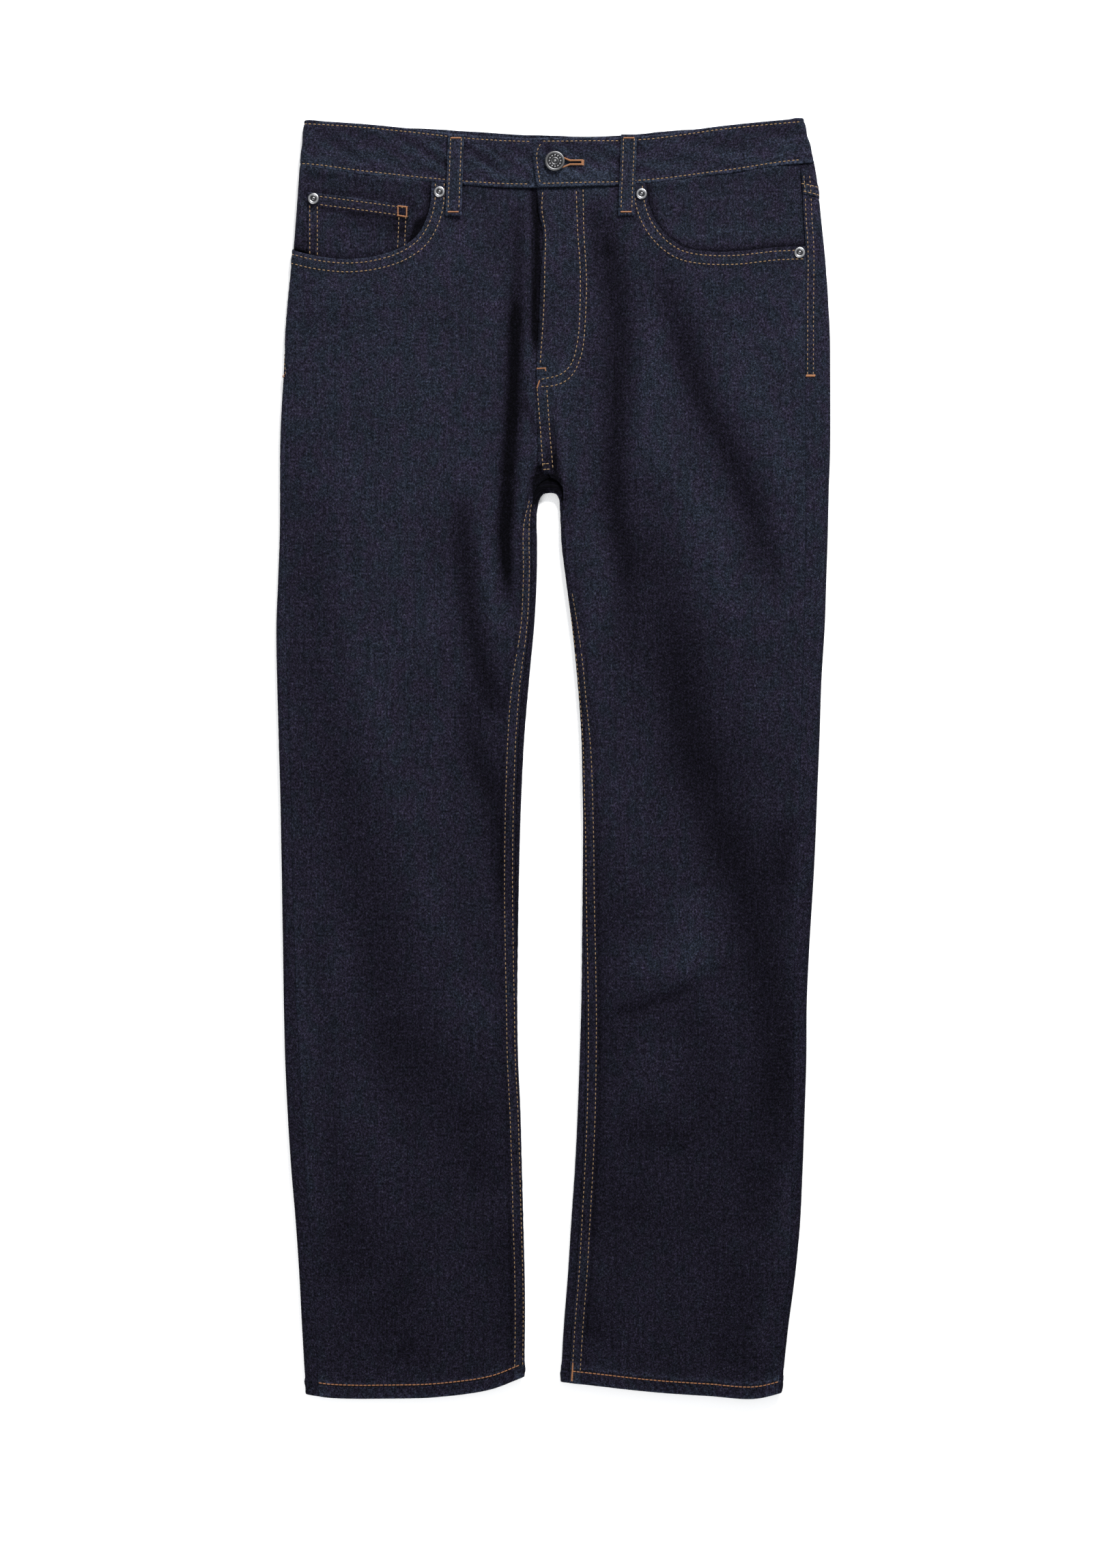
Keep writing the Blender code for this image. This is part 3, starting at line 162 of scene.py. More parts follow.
mouths = {
    "right": ((-226, 427.0), (-214, 422.4), (-197, 418.4), (-174, 416.1), (-152, 417.8), (-132, 423.5),
              (-117, 432.6), (-108, 445.0), (-102.8, 461.0), (-102.0, 479.6)),
    "left": ((210, 427.0), (196, 426.6), (180, 425.4), (153, 422.4), (130, 422.4), (109.4, 425.8),
             (95.2, 434.9), (84.9, 448.0), (79.4, 462.3), (77.2, 478.8)),
}

# Folds of the upper layer: a line of points, how wide, how high, and how much lighter or darker it is
# painted, as painted light on a ridge or painted shade in a trough.
folds = (
    (((-30, 472), (-30, 400), (-32, 345)), 6.5, -1.6, -0.46),
    (((-30.5, 398), (-32.5, 340), (-34, 290), (-37, 250), (-39, 215), (-41, 185), (-39, 150),
      (-37, 112)), 5.3, -3.2, -0.98),
    (((-31, 400), (-34, 320), (-40, 250), (-44, 190), (-42, 160)), 11, -0.7, -0.08),
    (((-23, 310), (-27, 250), (-28, 200), (-25, 160), (-26, 110)), 4.6, 1.3, 0.04),
    (((-61, 205), (-57, 160), (-52, 120), (-46, 90)), 8, 1.5, 0.14),
    (((-80, 240), (-76, 190), (-72, 150), (-68, 110), (-62, 82), (-55, 58), (-48, 40), (-41, 22)),
     9.5, -2.3, -0.50),
    (((-77, 72), (-71, 15), (-61, -10), (-51, -28), (-46, -70), (-43, -140)), 9, -1.7, -0.26),
    (((-68, 60), (-58, 20), (-49, -40)), 15, -0.6, -0.14),
    (((-38, 100), (-42, 40), (-44, -60), (-38, -170)), 11, 0.0, -0.09),
    (((-118, 215), (-104, 185), (-86, 150)), 14, 0.0, -0.12),
    (((-205, 300), (-203, 160), (-198, 60), (-184, 0), (-167, -60), (-154, -110), (-147, -160),
      (-138, -210), (-114, -258), (-82, -292), (-50, -350)), 24, -1.3, -0.20),
    (((-172, 160), (-160, 80), (-146, 20), (-129, -40), (-110, -100), (-95, -150), (-80, -200)),
     14, 1.9, 0.11),
    (((-140, -190), (-132, -220)), 14, 0.6, 0.12),
    (((-96, -185), (-70, -206), (-48, -232)), 13, 0.9, 0.18),
    (((-72, -284), (-60, -350)), 18, -0.6, -0.12),
    (((-192, -100), (-176, -180), (-172, -250), (-150, -315), (-112, -370)), 14, 1.2, 0.12),
    (((-218, -90), (-210, -200), (-203, -310), (-197, -430)), 10, 0.3, 0.18),
    (((-118, 380), (-130, 260), (-120, 120)), 34, 1.0, 0.05),
    (((-192, 408), (-164, 366), (-138, 400)), 14, 0.5, 0.08),
    (((-56, 474), (-50, 440), (-47, 400)), 8, -0.7, -0.10),
    (((-190, -300), (-181, -420), (-160, -480)), 22, -0.6, -0.04),
    (((-150, -440), (-116, -500)), 24, -0.5, -0.12),
    (((33, 472), (39, 440), (47, 412), (54, 385), (57, 345), (55, 315), (54, 288), (52, 245), (51, 210),
      (57, 172), (62, 140), (64, 105)), 10, -2.4, -0.42),
    (((58, 170), (63, 120), (66, 70)), 11, -0.6, -0.15),
    (((28, 466), (40, 440), (48, 412)), 9, -0.6, -0.26),
    (((38, 442), (45, 380), (46, 300), (46, 240), (50, 180)), 17, -0.6, -0.18),
    (((30, 330), (30, 250), (28, 180), (33, 120), (38, 60)), 9, 1.4, 0.06),
    (((72, 250), (78, 195), (86, 140)), 17, -0.8, -0.16),
    (((40, 200), (62, 186), (80, 166)), 13, 0.0, -0.12),
    (((78, 385), (80, 320), (83, 280), (97, 238), (120, 200), (134, 160), (144, 95)), 13, 2.0, 0.12),
    (((82, 230), (87, 155), (96, 105), (103, 55), (111, 10), (123, -30), (138, -64), (155, -105),
      (167, -150), (177, -190), (185, -235), (186, -280), (183, -335), (172, -390)), 17, -2.2, -0.28),
    (((90, 200), (106, 100), (126, 10), (162, -68), (190, -120), (193, -185)), 26, -0.8, -0.17),
    (((112, 130), (132, 60), (158, -40)), 30, 0.0, -0.11),
    (((126, -205), (126, -250), (118, -300)), 20, 0.0, -0.12),
    (((34, -362), (60, -372), (156, -388)), 18, 0.0, -0.08),
    (((26, -370), (32, -400), (46, -420)), 10, 0.0, -0.12),
    (((24, -484), (58, -490)), 9, 0.0, -0.12),
    (((130, -490), (178, -500)), 9, 0.0, -0.16),
    (((178, -330), (158, -398)), 16, 0.0, -0.14),
    (((46, -306), (80, -312), (122, -322)), 9, 0.0, -0.14),
    (((-134, -488), (-98, -498)), 10, 0.0, -0.14),
    (((-72, -345), (-40, -356)), 9, 0.0, -0.16),
    (((198, -44), (196, -80), (190, -110)), 14, -0.5, -0.20),
    (((80, 440), (91, 404), (101, 372), (109, 345), (117, 317), (128, 291), (141, 266), (153, 242),
      (164, 212), (173, 185), (190, 120)), 11.5, -2.3, -0.42),
    (((104, 380), (116, 335), (135, 284), (160, 236), (176, 180)), 15, -0.6, -0.14),
    (((146, 355), (166, 300), (186, 255), (199, 205)), 13, 1.6, 0.12),
    (((58, 30), (66, -40), (76, -95)), 18, 1.2, 0.05),
    (((112, -108), (118, -150), (134, -180)), 17, 1.6, 0.24),
    (((60, -180), (90, -166), (124, -172)), 13, 1.2, 0.20),
    (((46, -118), (74, -136)), 14, -0.5, -0.08),
    (((44, -214), (66, -210), (84, -204), (102, -197), (124, -186)), 5.5, -1.6, -0.26),
    (((110, -296), (144, -318), (160, -340)), 18, -0.4, -0.10),
    (((204, -10), (204, -100), (201, -160)), 5, 0.3, 0.10),
    (((37, -10), (38, -150), (34, -300), (25, -430)), 12, 0.0, -0.14),
    (((-36, -370), (-36, -440), (-38, -500)), 14, 0.0, -0.14),
    (((-184, -380), (-160, -410), (-150, -440)), 24, 0.0, -0.12),
    (((60, 150), (66, 60), (60, -30)), 16, 0.0, -0.10),
    (((199, -330), (194, -380), (190, -440)), 8, 0.3, 0.20),
    (((183, -446), (176, -500)), 8, 0.2, 0.12),
    (((214, 474), (220, 400), (223, 300), (221, 150)), 9, 0.2, 0.22),
    (((196, 362), (204, 320)), 12, 0.3, 0.10),
    (((75, -228), (86, -295)), 20, 0.8, 0.08),
    (((72, -312), (60, -395)), 22, -0.7, -0.06),
    (((35, -395), (34, -440)), 8, 0.3, 0.10),
    (((35, -450), (30, -490)), 9, -0.4, -0.14),
    (((150, -400), (150, -500)), 20, -0.3, -0.12),
    (((-16.4, 488), (-14.2, 440), (-14.6, 405), (-15.4, 372), (-15.5, 325)), 3.5, -3.4, -1.0),
    (((-24, 470), (-23, 380), (-22, 300)), 4.5, 1.2, 0.16),
    (((-27, 302), (-18, 282), (-11, 262)), 3.0, -0.9, -0.34),
    (((-3, 288), (0.5, 255), (4, 226)), 3.0, -0.9, -0.50),
    (((5, 288), (8, 250), (12, 222)), 5.0, 0.9, 0.12),
    (((-18, 312), (6, 311), (24, 330)), 9, 0.2, 0.28),
)
# The same kind of folds under the back, a ridge seen from inside and a furrow from the floor, painted darker
# along it as shade.
backFolds = (
    (((-52, 214), (-66, 180), (-88, 138), (-118, 96), (-150, 62)), 8, 1.3, -0.40),
    (((-36, 196), (-42, 150), (-45, 96), (-42, 40)), 7, 1.1, -0.34),
    (((-200, 196), (-178, 150), (-160, 96), (-150, 30)), 11, 1.2, -0.24),
    (((44, 212), (62, 176), (86, 136), (116, 98), (146, 70)), 8, 1.3, -0.40),
    (((26, 190), (34, 150), (38, 96), (36, 30)), 7, 1.1, -0.32),
    (((204, 200), (186, 150), (170, 90), (164, 20)), 11, 1.2, -0.24),
    (((-206, -96), (-176, -112), (-140, -118), (-108, -112)), 6, 1.1, -0.34),
    (((-190, -146), (-150, -160), (-112, -158)), 6, 0.9, -0.26),
    (((-60, -70), (-92, -96), (-124, -104)), 6, 0.9, -0.24),
    (((200, -86), (172, -100), (134, -104), (100, -96)), 6, 1.1, -0.34),
    (((60, -128), (96, -146), (138, -150)), 6, 0.9, -0.26),
    (((186, -190), (160, -176), (130, -172)), 5.5, 0.8, -0.20),
    (((-178, -260), (-160, -360), (-150, -470)), 16, 0.8, -0.12),
    (((60, -240), (76, -340), (84, -450)), 16, 0.8, -0.12),
)
# how strongly and how wide the folds' painted shade is laid
foldTone = {"gain": 1.3, "spread": 1.25}
# Painted shade that makes the shins darker than the thighs: height, then how much darker.
paintedLegShade = ((-540, -0.40), (-380, -0.39), (-220, -0.33), (-70, -0.22), (60, -0.09), (190, 0.0), (540, 0.0))

frontLoopPlaces = {"right": (-81.2, -83.6), "left": (62.8, 60.4)}  # x at the top and at the bottom

# What lies under the back lifts it, and pockets lift the front: centre, half sizes, height, slope.
backLifts = (
    (-107.0, 315.0, 90.0, 90.0, 1.7, 20.0),
    (102.0, 315.0, 90.0, 90.0, 1.7, 20.0),
    (-100.0, 500.0, 8.5, 56.0, 2.3, 12.0),
    (96.0, 500.0, 8.5, 56.0, 2.3, 12.0),
    (cloth["centreX"], 500.0, 8.5, 70.0, 2.3, 12.0),
)
frontLifts = (
    (-152.0, 432.0, 56.0, 57.0, 1.3, 20.0),
    (124.0, 432.0, 60.0, 57.0, 1.0, 20.0),
)


def smoothCurve(points, at):
    # A cubic between each two points, its end slopes the mean of the slopes beside it.
    place, value = np.array(points, float).T
    order = np.argsort(place)
    place, value = place[order], value[order]
    step = np.diff(place)
    rise = np.diff(value) / step
    slope = np.concatenate([rise[:1], (rise[:-1] + rise[1:]) / 2, rise[-1:]])
    at = np.clip(np.asarray(at, float), place[0], place[-1])
    i = np.clip(np.searchsorted(place, at) - 1, 0, len(step) - 1)
    t = (at - place[i]) / step[i]
    start = (1 + 2 * t) * (1 - t) ** 2 * value[i] + t * (1 - t) ** 2 * step[i] * slope[i]
    end = t * t * (3 - 2 * t) * value[i + 1] - t * t * (1 - t) * step[i] * slope[i + 1]
    return start + end


def ease(t):
    # 0 to 1 by 3t^2 - 2t^3, so both ends are flat.
    t = np.clip(t, 0.0, 1.0)
    return t * t * (3 - 2 * t)


def rising(value, start, over):
    # 0 up to the start, then eased to 1.
    return ease((value - start) / over)


def falling(value, start, over):
    # 1 up to the start, then eased to 0.
    return 1 - rising(value, start, over)


def bell(distance, width):
    # 1 at no distance, falling as e to the minus square of distance over width.
    return np.exp(-((distance / width) ** 2))


def bump(distance, halfWidth, soft):
    # 1 out to the half width, then down to 0 over the soft length.
    return 1 - ease((np.abs(distance) - halfWidth) / soft)


def plateau(x, y, row):
    # Product of one bump along x and one along y.
    cx, cy, halfX, halfY, height, slope = row
    return height * bump(x - cx, halfX, slope) * bump(y - cy, halfY, slope)


def lineDistance(x, y, line):
    # Shortest distance to each straight run of the line, and the share of the line passed there.
    points = np.array(line, float)
    lengths = np.hypot(*np.diff(points, axis=0).T)
    best, along, done = np.full(np.shape(x), 1e9), np.zeros(np.shape(x)), 0.0
    for start, end, length in zip(points[:-1], points[1:], lengths):
        run = (end - start) / length
        t = np.clip((x - start[0]) * run[0] + (y - start[1]) * run[1], 0, length)
        away = np.hypot(x - start[0] - t * run[0], y - start[1] - t * run[1])
        along = np.where(away < best, (done + t) / lengths.sum(), along)
        best = np.minimum(best, away)
        done += length
    return best, along


def awayFrom(x, y, line):
    # The distance alone.
    return lineDistance(x, y, line)[0]


def unit(vectors):
    # Each vector over its own length.
    return vectors / np.maximum(np.linalg.norm(vectors, axis=-1, keepdims=True), 1e-6)


def lengthsAlong(path):
    # The length of the path up to each of its points.
    return np.concatenate([[0.0], np.cumsum(np.linalg.norm(np.diff(path, axis=0), axis=1))])


def pointsAt(path, run, spots):
    # Points of the path at the given lengths, straight between those that are known.
    return np.stack([np.interp(spots, run, column) for column in path.T], axis=1)


def linear(points):
    # Straight runs between the points, sampled at each millimetre.
    path = np.array(points, float)
    run = lengthsAlong(path)
    return pointsAt(path, run, np.linspace(0, run[-1], max(2, int(run[-1]))))


def pathOf(points):
    # A smooth path through a few points, sampled at each millimetre.
    points = np.array(points, float)
    places, fine = np.arange(len(points)), np.linspace(0, len(points) - 1, 40 * len(points))
    return linear(np.stack([smoothCurve(np.c_[places, column], fine) for column in points.T], axis=1))


def offsetPath(path, away):
    # Each point moved square to the path, to its left for a positive distance.
    way = unit(np.gradient(path, axis=0))
    return path + away * np.c_[-way[:, 1], way[:, 0]]


# Small creases all over: waves in many directions, each swelling and fading along its crest.
creases = {"seed": 11, "count": 26, "shortest": 16.0, "longest": 95.0, "height": 0.0042}
creaseRandom = np.random.default_rng(creases["seed"])
creaseWaves = [
    (length, turn, creaseRandom.uniform(0, 6.3), creaseRandom.uniform(0, 6.3), creaseRandom.uniform(0, 6.3))
    for length, turn in zip(
        np.geomspace(creases["shortest"], creases["longest"], creases["count"]),
        creaseRandom.uniform(0, math.pi, creases["count"]),
    )
]


def crease(x, y):
    # Sum of sines across each direction, times a slow sine along it and one across it.
    total = np.zeros(np.shape(x))
    for length, turn, phase, slow, drift in creaseWaves:
        across = x * math.cos(turn) + y * math.sin(turn)
        along = y * math.cos(turn) - x * math.sin(turn)
        swell = np.sin(along / (1.3 * length) + slow) * np.sin(across / (1.9 * length) + drift)
        total += creases["height"] * length * np.sin(fullTurn * across / length + phase) * swell
    return total


def foldBell(x, y, line, width, end):
    # A bell across the line, eased in over a share of it at each end.
    away, along = lineDistance(x, y, line)
    return ease(along / end) * ease((1 - along) / end) * bell(away, width)


def foldHeight(x, y, table, calm=1.0):
    # The sum of each fold's height times its bell; only narrow folds are kept whole where it's calm.
    z = np.zeros(np.shape(x))
    for line, width, height, _ in table:
        z += (1.0 if width < 7 else calm) * height * foldBell(x, y, line, width, 0.14)
    return z


def lifts(x, y, rows):
    # The sum of the rows' plateaus.
    return sum(plateau(x, y, row) for row in rows)


def backZ(x, y):
    # Flat on the floor, with low folds up to what the upper layer leaves, lifted by each pocket and loop.
    lifted = lifts(x, y, backLifts)
    room = np.maximum(topZ(x, y) - lifted - 2 * cloth["wall"] - 0.4, 0.0)
    return np.minimum(foldHeight(x, y, backFolds), room) + lifted


def topZ(x, y):
    # The upper layer's outer face: level plus folds and creases, held above what lies under it.
    calm = 1 - falling(np.abs(x - 7), 24, 10) * rising(y, 222, 14)
    z = cloth["upperFace"] + foldHeight(x, y, folds, calm)
    z += crease(x, y)
    lifted = lifts(x, y, backLifts)
    low = np.maximum(cloth["lowest"], lifted + 2 * cloth["wall"] + cloth["gap"])
    z = low + np.logaddexp(0, (z - low) * 3.0) / 3.0
    return z + lifts(x, y, frontLifts)


def hemShift(x, y):
    # Rows near the hem move along the leg, to lie parallel to the hem's curve.
    hem = np.where(x < 0, smoothCurve(hems["right"], x), smoothCurve(hems["left"], x)) + hemLine
    return hem * falling(y, -510.0, 90.0)


def placed(x, y, z):
    # Points in space, shifted with the hem.
    return np.stack([x, y + hemShift(x, y), z], axis=-1)


def edgePoint(x, y, wayX, wayY, arc, depth, radius=edgeRadius, top=None):
    # A half turn round the edge by arc length, then flat on along the upper or the lower layer.
    q = radius * math.pi / 2
    high = topZ(x + wayX * radius, y + wayY * radius) if top is None else top
    low = backZ(x + wayX * radius, y + wayY * radius)
    angle = np.clip(arc / radius, -math.pi / 2, math.pi / 2)
    run = radius - (radius - depth) * np.cos(angle) + np.maximum(np.abs(arc) - q, 0.0)
    px, py = x + wayX * run, y + wayY * run
    z = (high + low) / 2 + ((high - low) / 2 - depth) * np.sin(angle)
    if top is None:
        z = np.where(arc > q, topZ(px, py) - depth, z)
    z = np.where(arc < -q, backZ(px, py) + depth, z)
    return placed(px, py, z)


def legRows(leg, places):
    # Every column of the leg's table at fractional rows.
    return {
        name: smoothCurve([(i, row[k]) for i, row in enumerate(legTables[leg])], places)
        for k, name in enumerate(legColumns)
    }


def rowPlaces(leg, heights):
    # Fractional rows of a leg's table at the given heights.
    known = [row[0] for row in legTables[leg]]
    return np.interp(heights, known, np.arange(len(known)))


def columnAt(leg, legColumn, hipColumn, y):
    # A column of the leg's table below the crotch and of the hips' above it, at any height.
    below, above = legColumns.index(legColumn), hipColumns.index(hipColumn)
    points = [(row[0], row[below]) for row in legTables[leg][:-1]]
    return smoothCurve(points + [(row[0], row[above]) for row in hips], y)


def edgeX(leg, y):
    # How far out the fold of the outer edge is.
    return columnAt(leg, "outerX", leg, y)


def seamArc(leg, y):
    # How far round that fold the side seam lies, from its outermost line.
    return columnAt(leg, "sideSeam", leg + "Seam", y)


def seamX(leg, y):
    # The side seam's place on the unrolled upper layer.
    return edgeX(leg, y) - sideOf[leg] * (seamArc(leg, y) - quarter + edgeRadius)


def hipPoint(face, leg, x, y, depth=0.0):
    # The upper layer (face 1) or the lower one (-1) above the crotch, in unrolled plan: x past the
    # edge goes round it.
    side, edge = sideOf[leg], edgeX(leg, y)
    arc = face * (side * (edge - x) + quarter - edgeRadius)
    return edgePoint(edge, y, -side * np.ones_like(x), np.zeros_like(x), arc, depth)


def foldOf(rows, which):
    # The outer or the inner edge at each section: its point and the way in from it.
    if which == "outer":
        return rows["outerX"], rows["y"], -np.sign(rows["outerX"]), 0.0 * rows["y"]
    turn = np.radians(rows["inward"])
    return rows["innerX"], rows["innerY"], np.cos(turn), np.sin(turn)


def wayIn(rows, which, run):
    # That far in from the edge, in plan: a run for each section, or a row of runs.
    x, y, wayX, wayY = (v.reshape(-1, *(1,) * (np.ndim(run) - 1)) for v in foldOf(rows, which))
    return x + wayX * run, y + wayY * run


def legEdgePoint(rows, which, arcs, depth):
    # The fold round an edge of a leg, a row for each section.
    x, y, wayX, wayY = (v[:, None] * np.ones_like(arcs) for v in foldOf(rows, which))
    return edgePoint(x, y, wayX, wayY, arcs, depth)


def coons(bottom, top, left, right, along, up):
    # Blend of the two pairs of facing curves, less the blend of the corners.
    u, v = np.asarray(along)[None, :, None], np.asarray(up)[:, None, None]
    ruled = (1 - v) * bottom[None] + v * top[None] + (1 - u) * left[:, None] + u * right[:, None]
    corners = (1 - u) * (1 - v) * bottom[0] + u * (1 - v) * bottom[-1]
    return ruled - corners - (1 - u) * v * top[0] - u * v * top[-1]


def turnedEdge(distance, radius=0.65):
    # How far a rounded edge falls away, by the distance in from it.
    inside = np.clip((radius - distance) / radius, 0.0, 0.96)
    return radius * (1 - np.sqrt(1 - inside**2))


def furrow(distance, width=0.8, deep=0.32):
    # The groove that a row of stitches pulls into the cloth: a bell across the row.
    return -deep * bell(distance, width)


def furrows(distance, rows, width=0.8, deep=0.32):
    # The sum of a groove at each row's distance in from an edge.
    return sum(furrow(distance - row, width, deep) for row in rows)


def pucker(along, distance, pitch, height, reach):
    # Ripples square to a seam: a sine of uneven pitch along it, fading away from it.
    uneven = along + 0.35 * pitch * np.sin(along / (2.3 * pitch)) + 0.2 * pitch * np.sin(along / 7.7 + 1.0)
    fade = bell(distance, reach)
    return height * np.sin(fullTurn * uneven / pitch) * fade * (0.6 + 0.4 * np.sin(along / 31.0 + 0.7))


def wallMesh(name, outer, inner, uv, wear, keep=None, fold=None, inside=None):
    # Quads over both grids and a rim round what is kept; the volume's sign turns the faces out.
    rows, columns = outer.shape[:2]
    keep = np.ones((rows - 1, columns - 1), bool) if keep is None else keep
    index = np.arange(rows * columns).reshape(rows, columns)
    corners = (index[:-1, :-1], index[:-1, 1:], index[1:, 1:], index[1:, :-1])
    face = np.stack([corner[keep] for corner in corners], axis=1)
    edges = np.concatenate([face[:, [i, (i + 1) % 4]] for i in range(4)])
    count = rows * columns
    code, twin = edges[:, 0] * count + edges[:, 1], edges[:, 1] * count + edges[:, 0]
    rim = edges[~np.isin(code, twin)]
    sides = np.stack([rim[:, 1], rim[:, 0], rim[:, 0] + count, rim[:, 1] + count], axis=1)
    faces = np.concatenate([face, face[:, ::-1] + count, sides])
    points = np.concatenate([outer.reshape(-1, 3), inner.reshape(-1, 3)]) * mm
    a, b, c, d = (points[faces[:, i]] for i in range(4))
    volume = (a * np.cross(b, c)).sum() + (a * np.cross(c, d)).sum()
    if volume < 0:
        faces = faces[:, ::-1]
    used = np.unique(faces)
    renumber = np.zeros(len(points), int)
    renumber[used] = np.arange(len(used))
    flatUv = np.tile(uv.reshape(-1, 2), (2, 1)) * mm
    flatWear = np.tile(np.asarray(wear, float).reshape(-1), 2)
    # the painted shade and light of the outer face, and of the inner face where one is given, with a few
    # rubbed edges among them
    fold = 0.0 * np.asarray(wear, float) if fold is None else fold
    inside = fold if inside is None else inside
    flatPaintedShadeAndWear = np.concatenate([fold.reshape(-1), inside.reshape(-1)])
    return meshOf(name, points[used], renumber[faces], flatUv[used], wear=flatWear[used], fold=flatPaintedShadeAndWear[used])


def meshOf(name, points, faces, uv=None, **shades):
    # A mesh from whole arrays, with a UV for each corner and each shade as an attribute of the points.
    mesh = bpy.data.meshes.new(name)
    mesh.vertices.add(len(points))
    mesh.vertices.foreach_set("co", np.asarray(points, np.float32).ravel())
    sides = faces.shape[1]
    mesh.loops.add(faces.size)
    mesh.loops.foreach_set("vertex_index", faces.astype(np.int32).ravel())
    mesh.polygons.add(len(faces))
    mesh.polygons.foreach_set("loop_start", np.arange(0, faces.size, sides, dtype=np.int32))
    mesh.polygons.foreach_set("loop_total", np.full(len(faces), sides, np.int32))
    mesh.update(calc_edges=True)
    mesh.validate()
    if uv is not None:
        layer = mesh.uv_layers.new(name="grain")
        layer.data.foreach_set("uv", uv[faces.ravel()].astype(np.float32).ravel())
    for shade, values in shades.items():
        attribute = mesh.attributes.new(shade, "FLOAT", "POINT")
        attribute.data.foreach_set("value", values.astype(np.float32))
    mesh.shade_smooth()
    return mesh


def foldShade(x, y, table):
    # Each fold's painted shade or light times a bell like its height's, on the painted shade that darkens the
    # cloth down the leg.
    shade = smoothCurve(paintedLegShade, y)
    for line, width, _, tone in table:
        shade += foldTone["gain"] * tone * foldBell(x, y, line, foldTone["spread"] * width, 0.20)
    return np.clip(shade, -1, 1)


def linked(name, data):
    # An object of the scene that holds the data.
    obj = bpy.data.objects.new(name, data)
    bpy.context.scene.collection.objects.link(obj)
    return obj


def addPiece(name, mesh, material, replaced=()):
    # One finished piece, with the CAD nodes that it takes the place of.
    obj = linked(name, mesh)
    mesh.materials.append(material)
    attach(obj, "root")
    if replaced:
        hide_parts(*replaced)
    return obj


def newFinish(name):
    # A material and what fills it: add makes a node and gives its output, times and plus are sums on
    # values, mixed blends two colours by a factor, and dress sets the surface's own sockets.
    material = bpy.data.materials.new(name)
    material.use_nodes = True
    nodes, links = material.node_tree.nodes, material.node_tree.links

    def fill(made, sockets):  # a socket is linked, and any other value is set
        for key, value in sockets.items():
            if isinstance(value, bpy.types.NodeSocket):
                links.new(value, made.inputs[key])
            else:
                made.inputs[key].default_value = value

    def add(kind, sockets, output=0, **settings):
        made = nodes.new("ShaderNode" + kind)
        for key, value in settings.items():
            setattr(made, key, value)
        fill(made, sockets)
        return made.outputs[output]

    def times(a, b, clamp=False):
        return add("Math", {0: a, 1: b}, operation="MULTIPLY", use_clamp=clamp)

    def plus(a, b, clamp=False):
        return add("Math", {0: a, 1: b}, operation="ADD", use_clamp=clamp)

    def mixed(factor, a, b):
        return add("Mix", {0: factor, 6: a, 7: b}, 2, data_type="RGBA")

    def dress(sockets):
        fill(nodes["Principled BSDF"], sockets)

    return SimpleNamespace(material=material, add=add, times=times, plus=plus, mixed=mixed, dress=dress)


denim = {
    "teal": (0.0067, 0.0086, 0.0143, 1.0),     # indigo, as it drifts between two hues
    "violet": (0.0092, 0.0079, 0.0158, 1.0),
    "fleck": (0.0720, 0.0880, 0.1020, 1.0),    # undyed weft between the warp yarns
    "worn": (0.0330, 0.0450, 0.0720, 1.0),     # rubbed edges
    "sheenTint": (0.60, 0.66, 0.9, 1.0),
    "grain": 3.7,                              # contrast of the yarns
    "tone": 0.84,                              # brightness of all of it
    "foldRange": (0.12, 1.88),                 # brightness where the painted shade is -1 and 1
    "deepHue": 1.3,                            # how fast cloth in painted shade turns violet
    "walePitch": 1.35,                         # millimetres across the twill's diagonal ribs
    "waleTurn": 0.96,                          # radians
    "specular": 0.028,
    "sheen": 0.011,
    "scales": {                                # cycles a metre across the leg and along it
        "yarn": (760, 600), "tuft": (300, 215), "slub": (420, 15), "patch": (24, 15),
        "hue": (95, 60), "speck": (900, 720),
    },
}


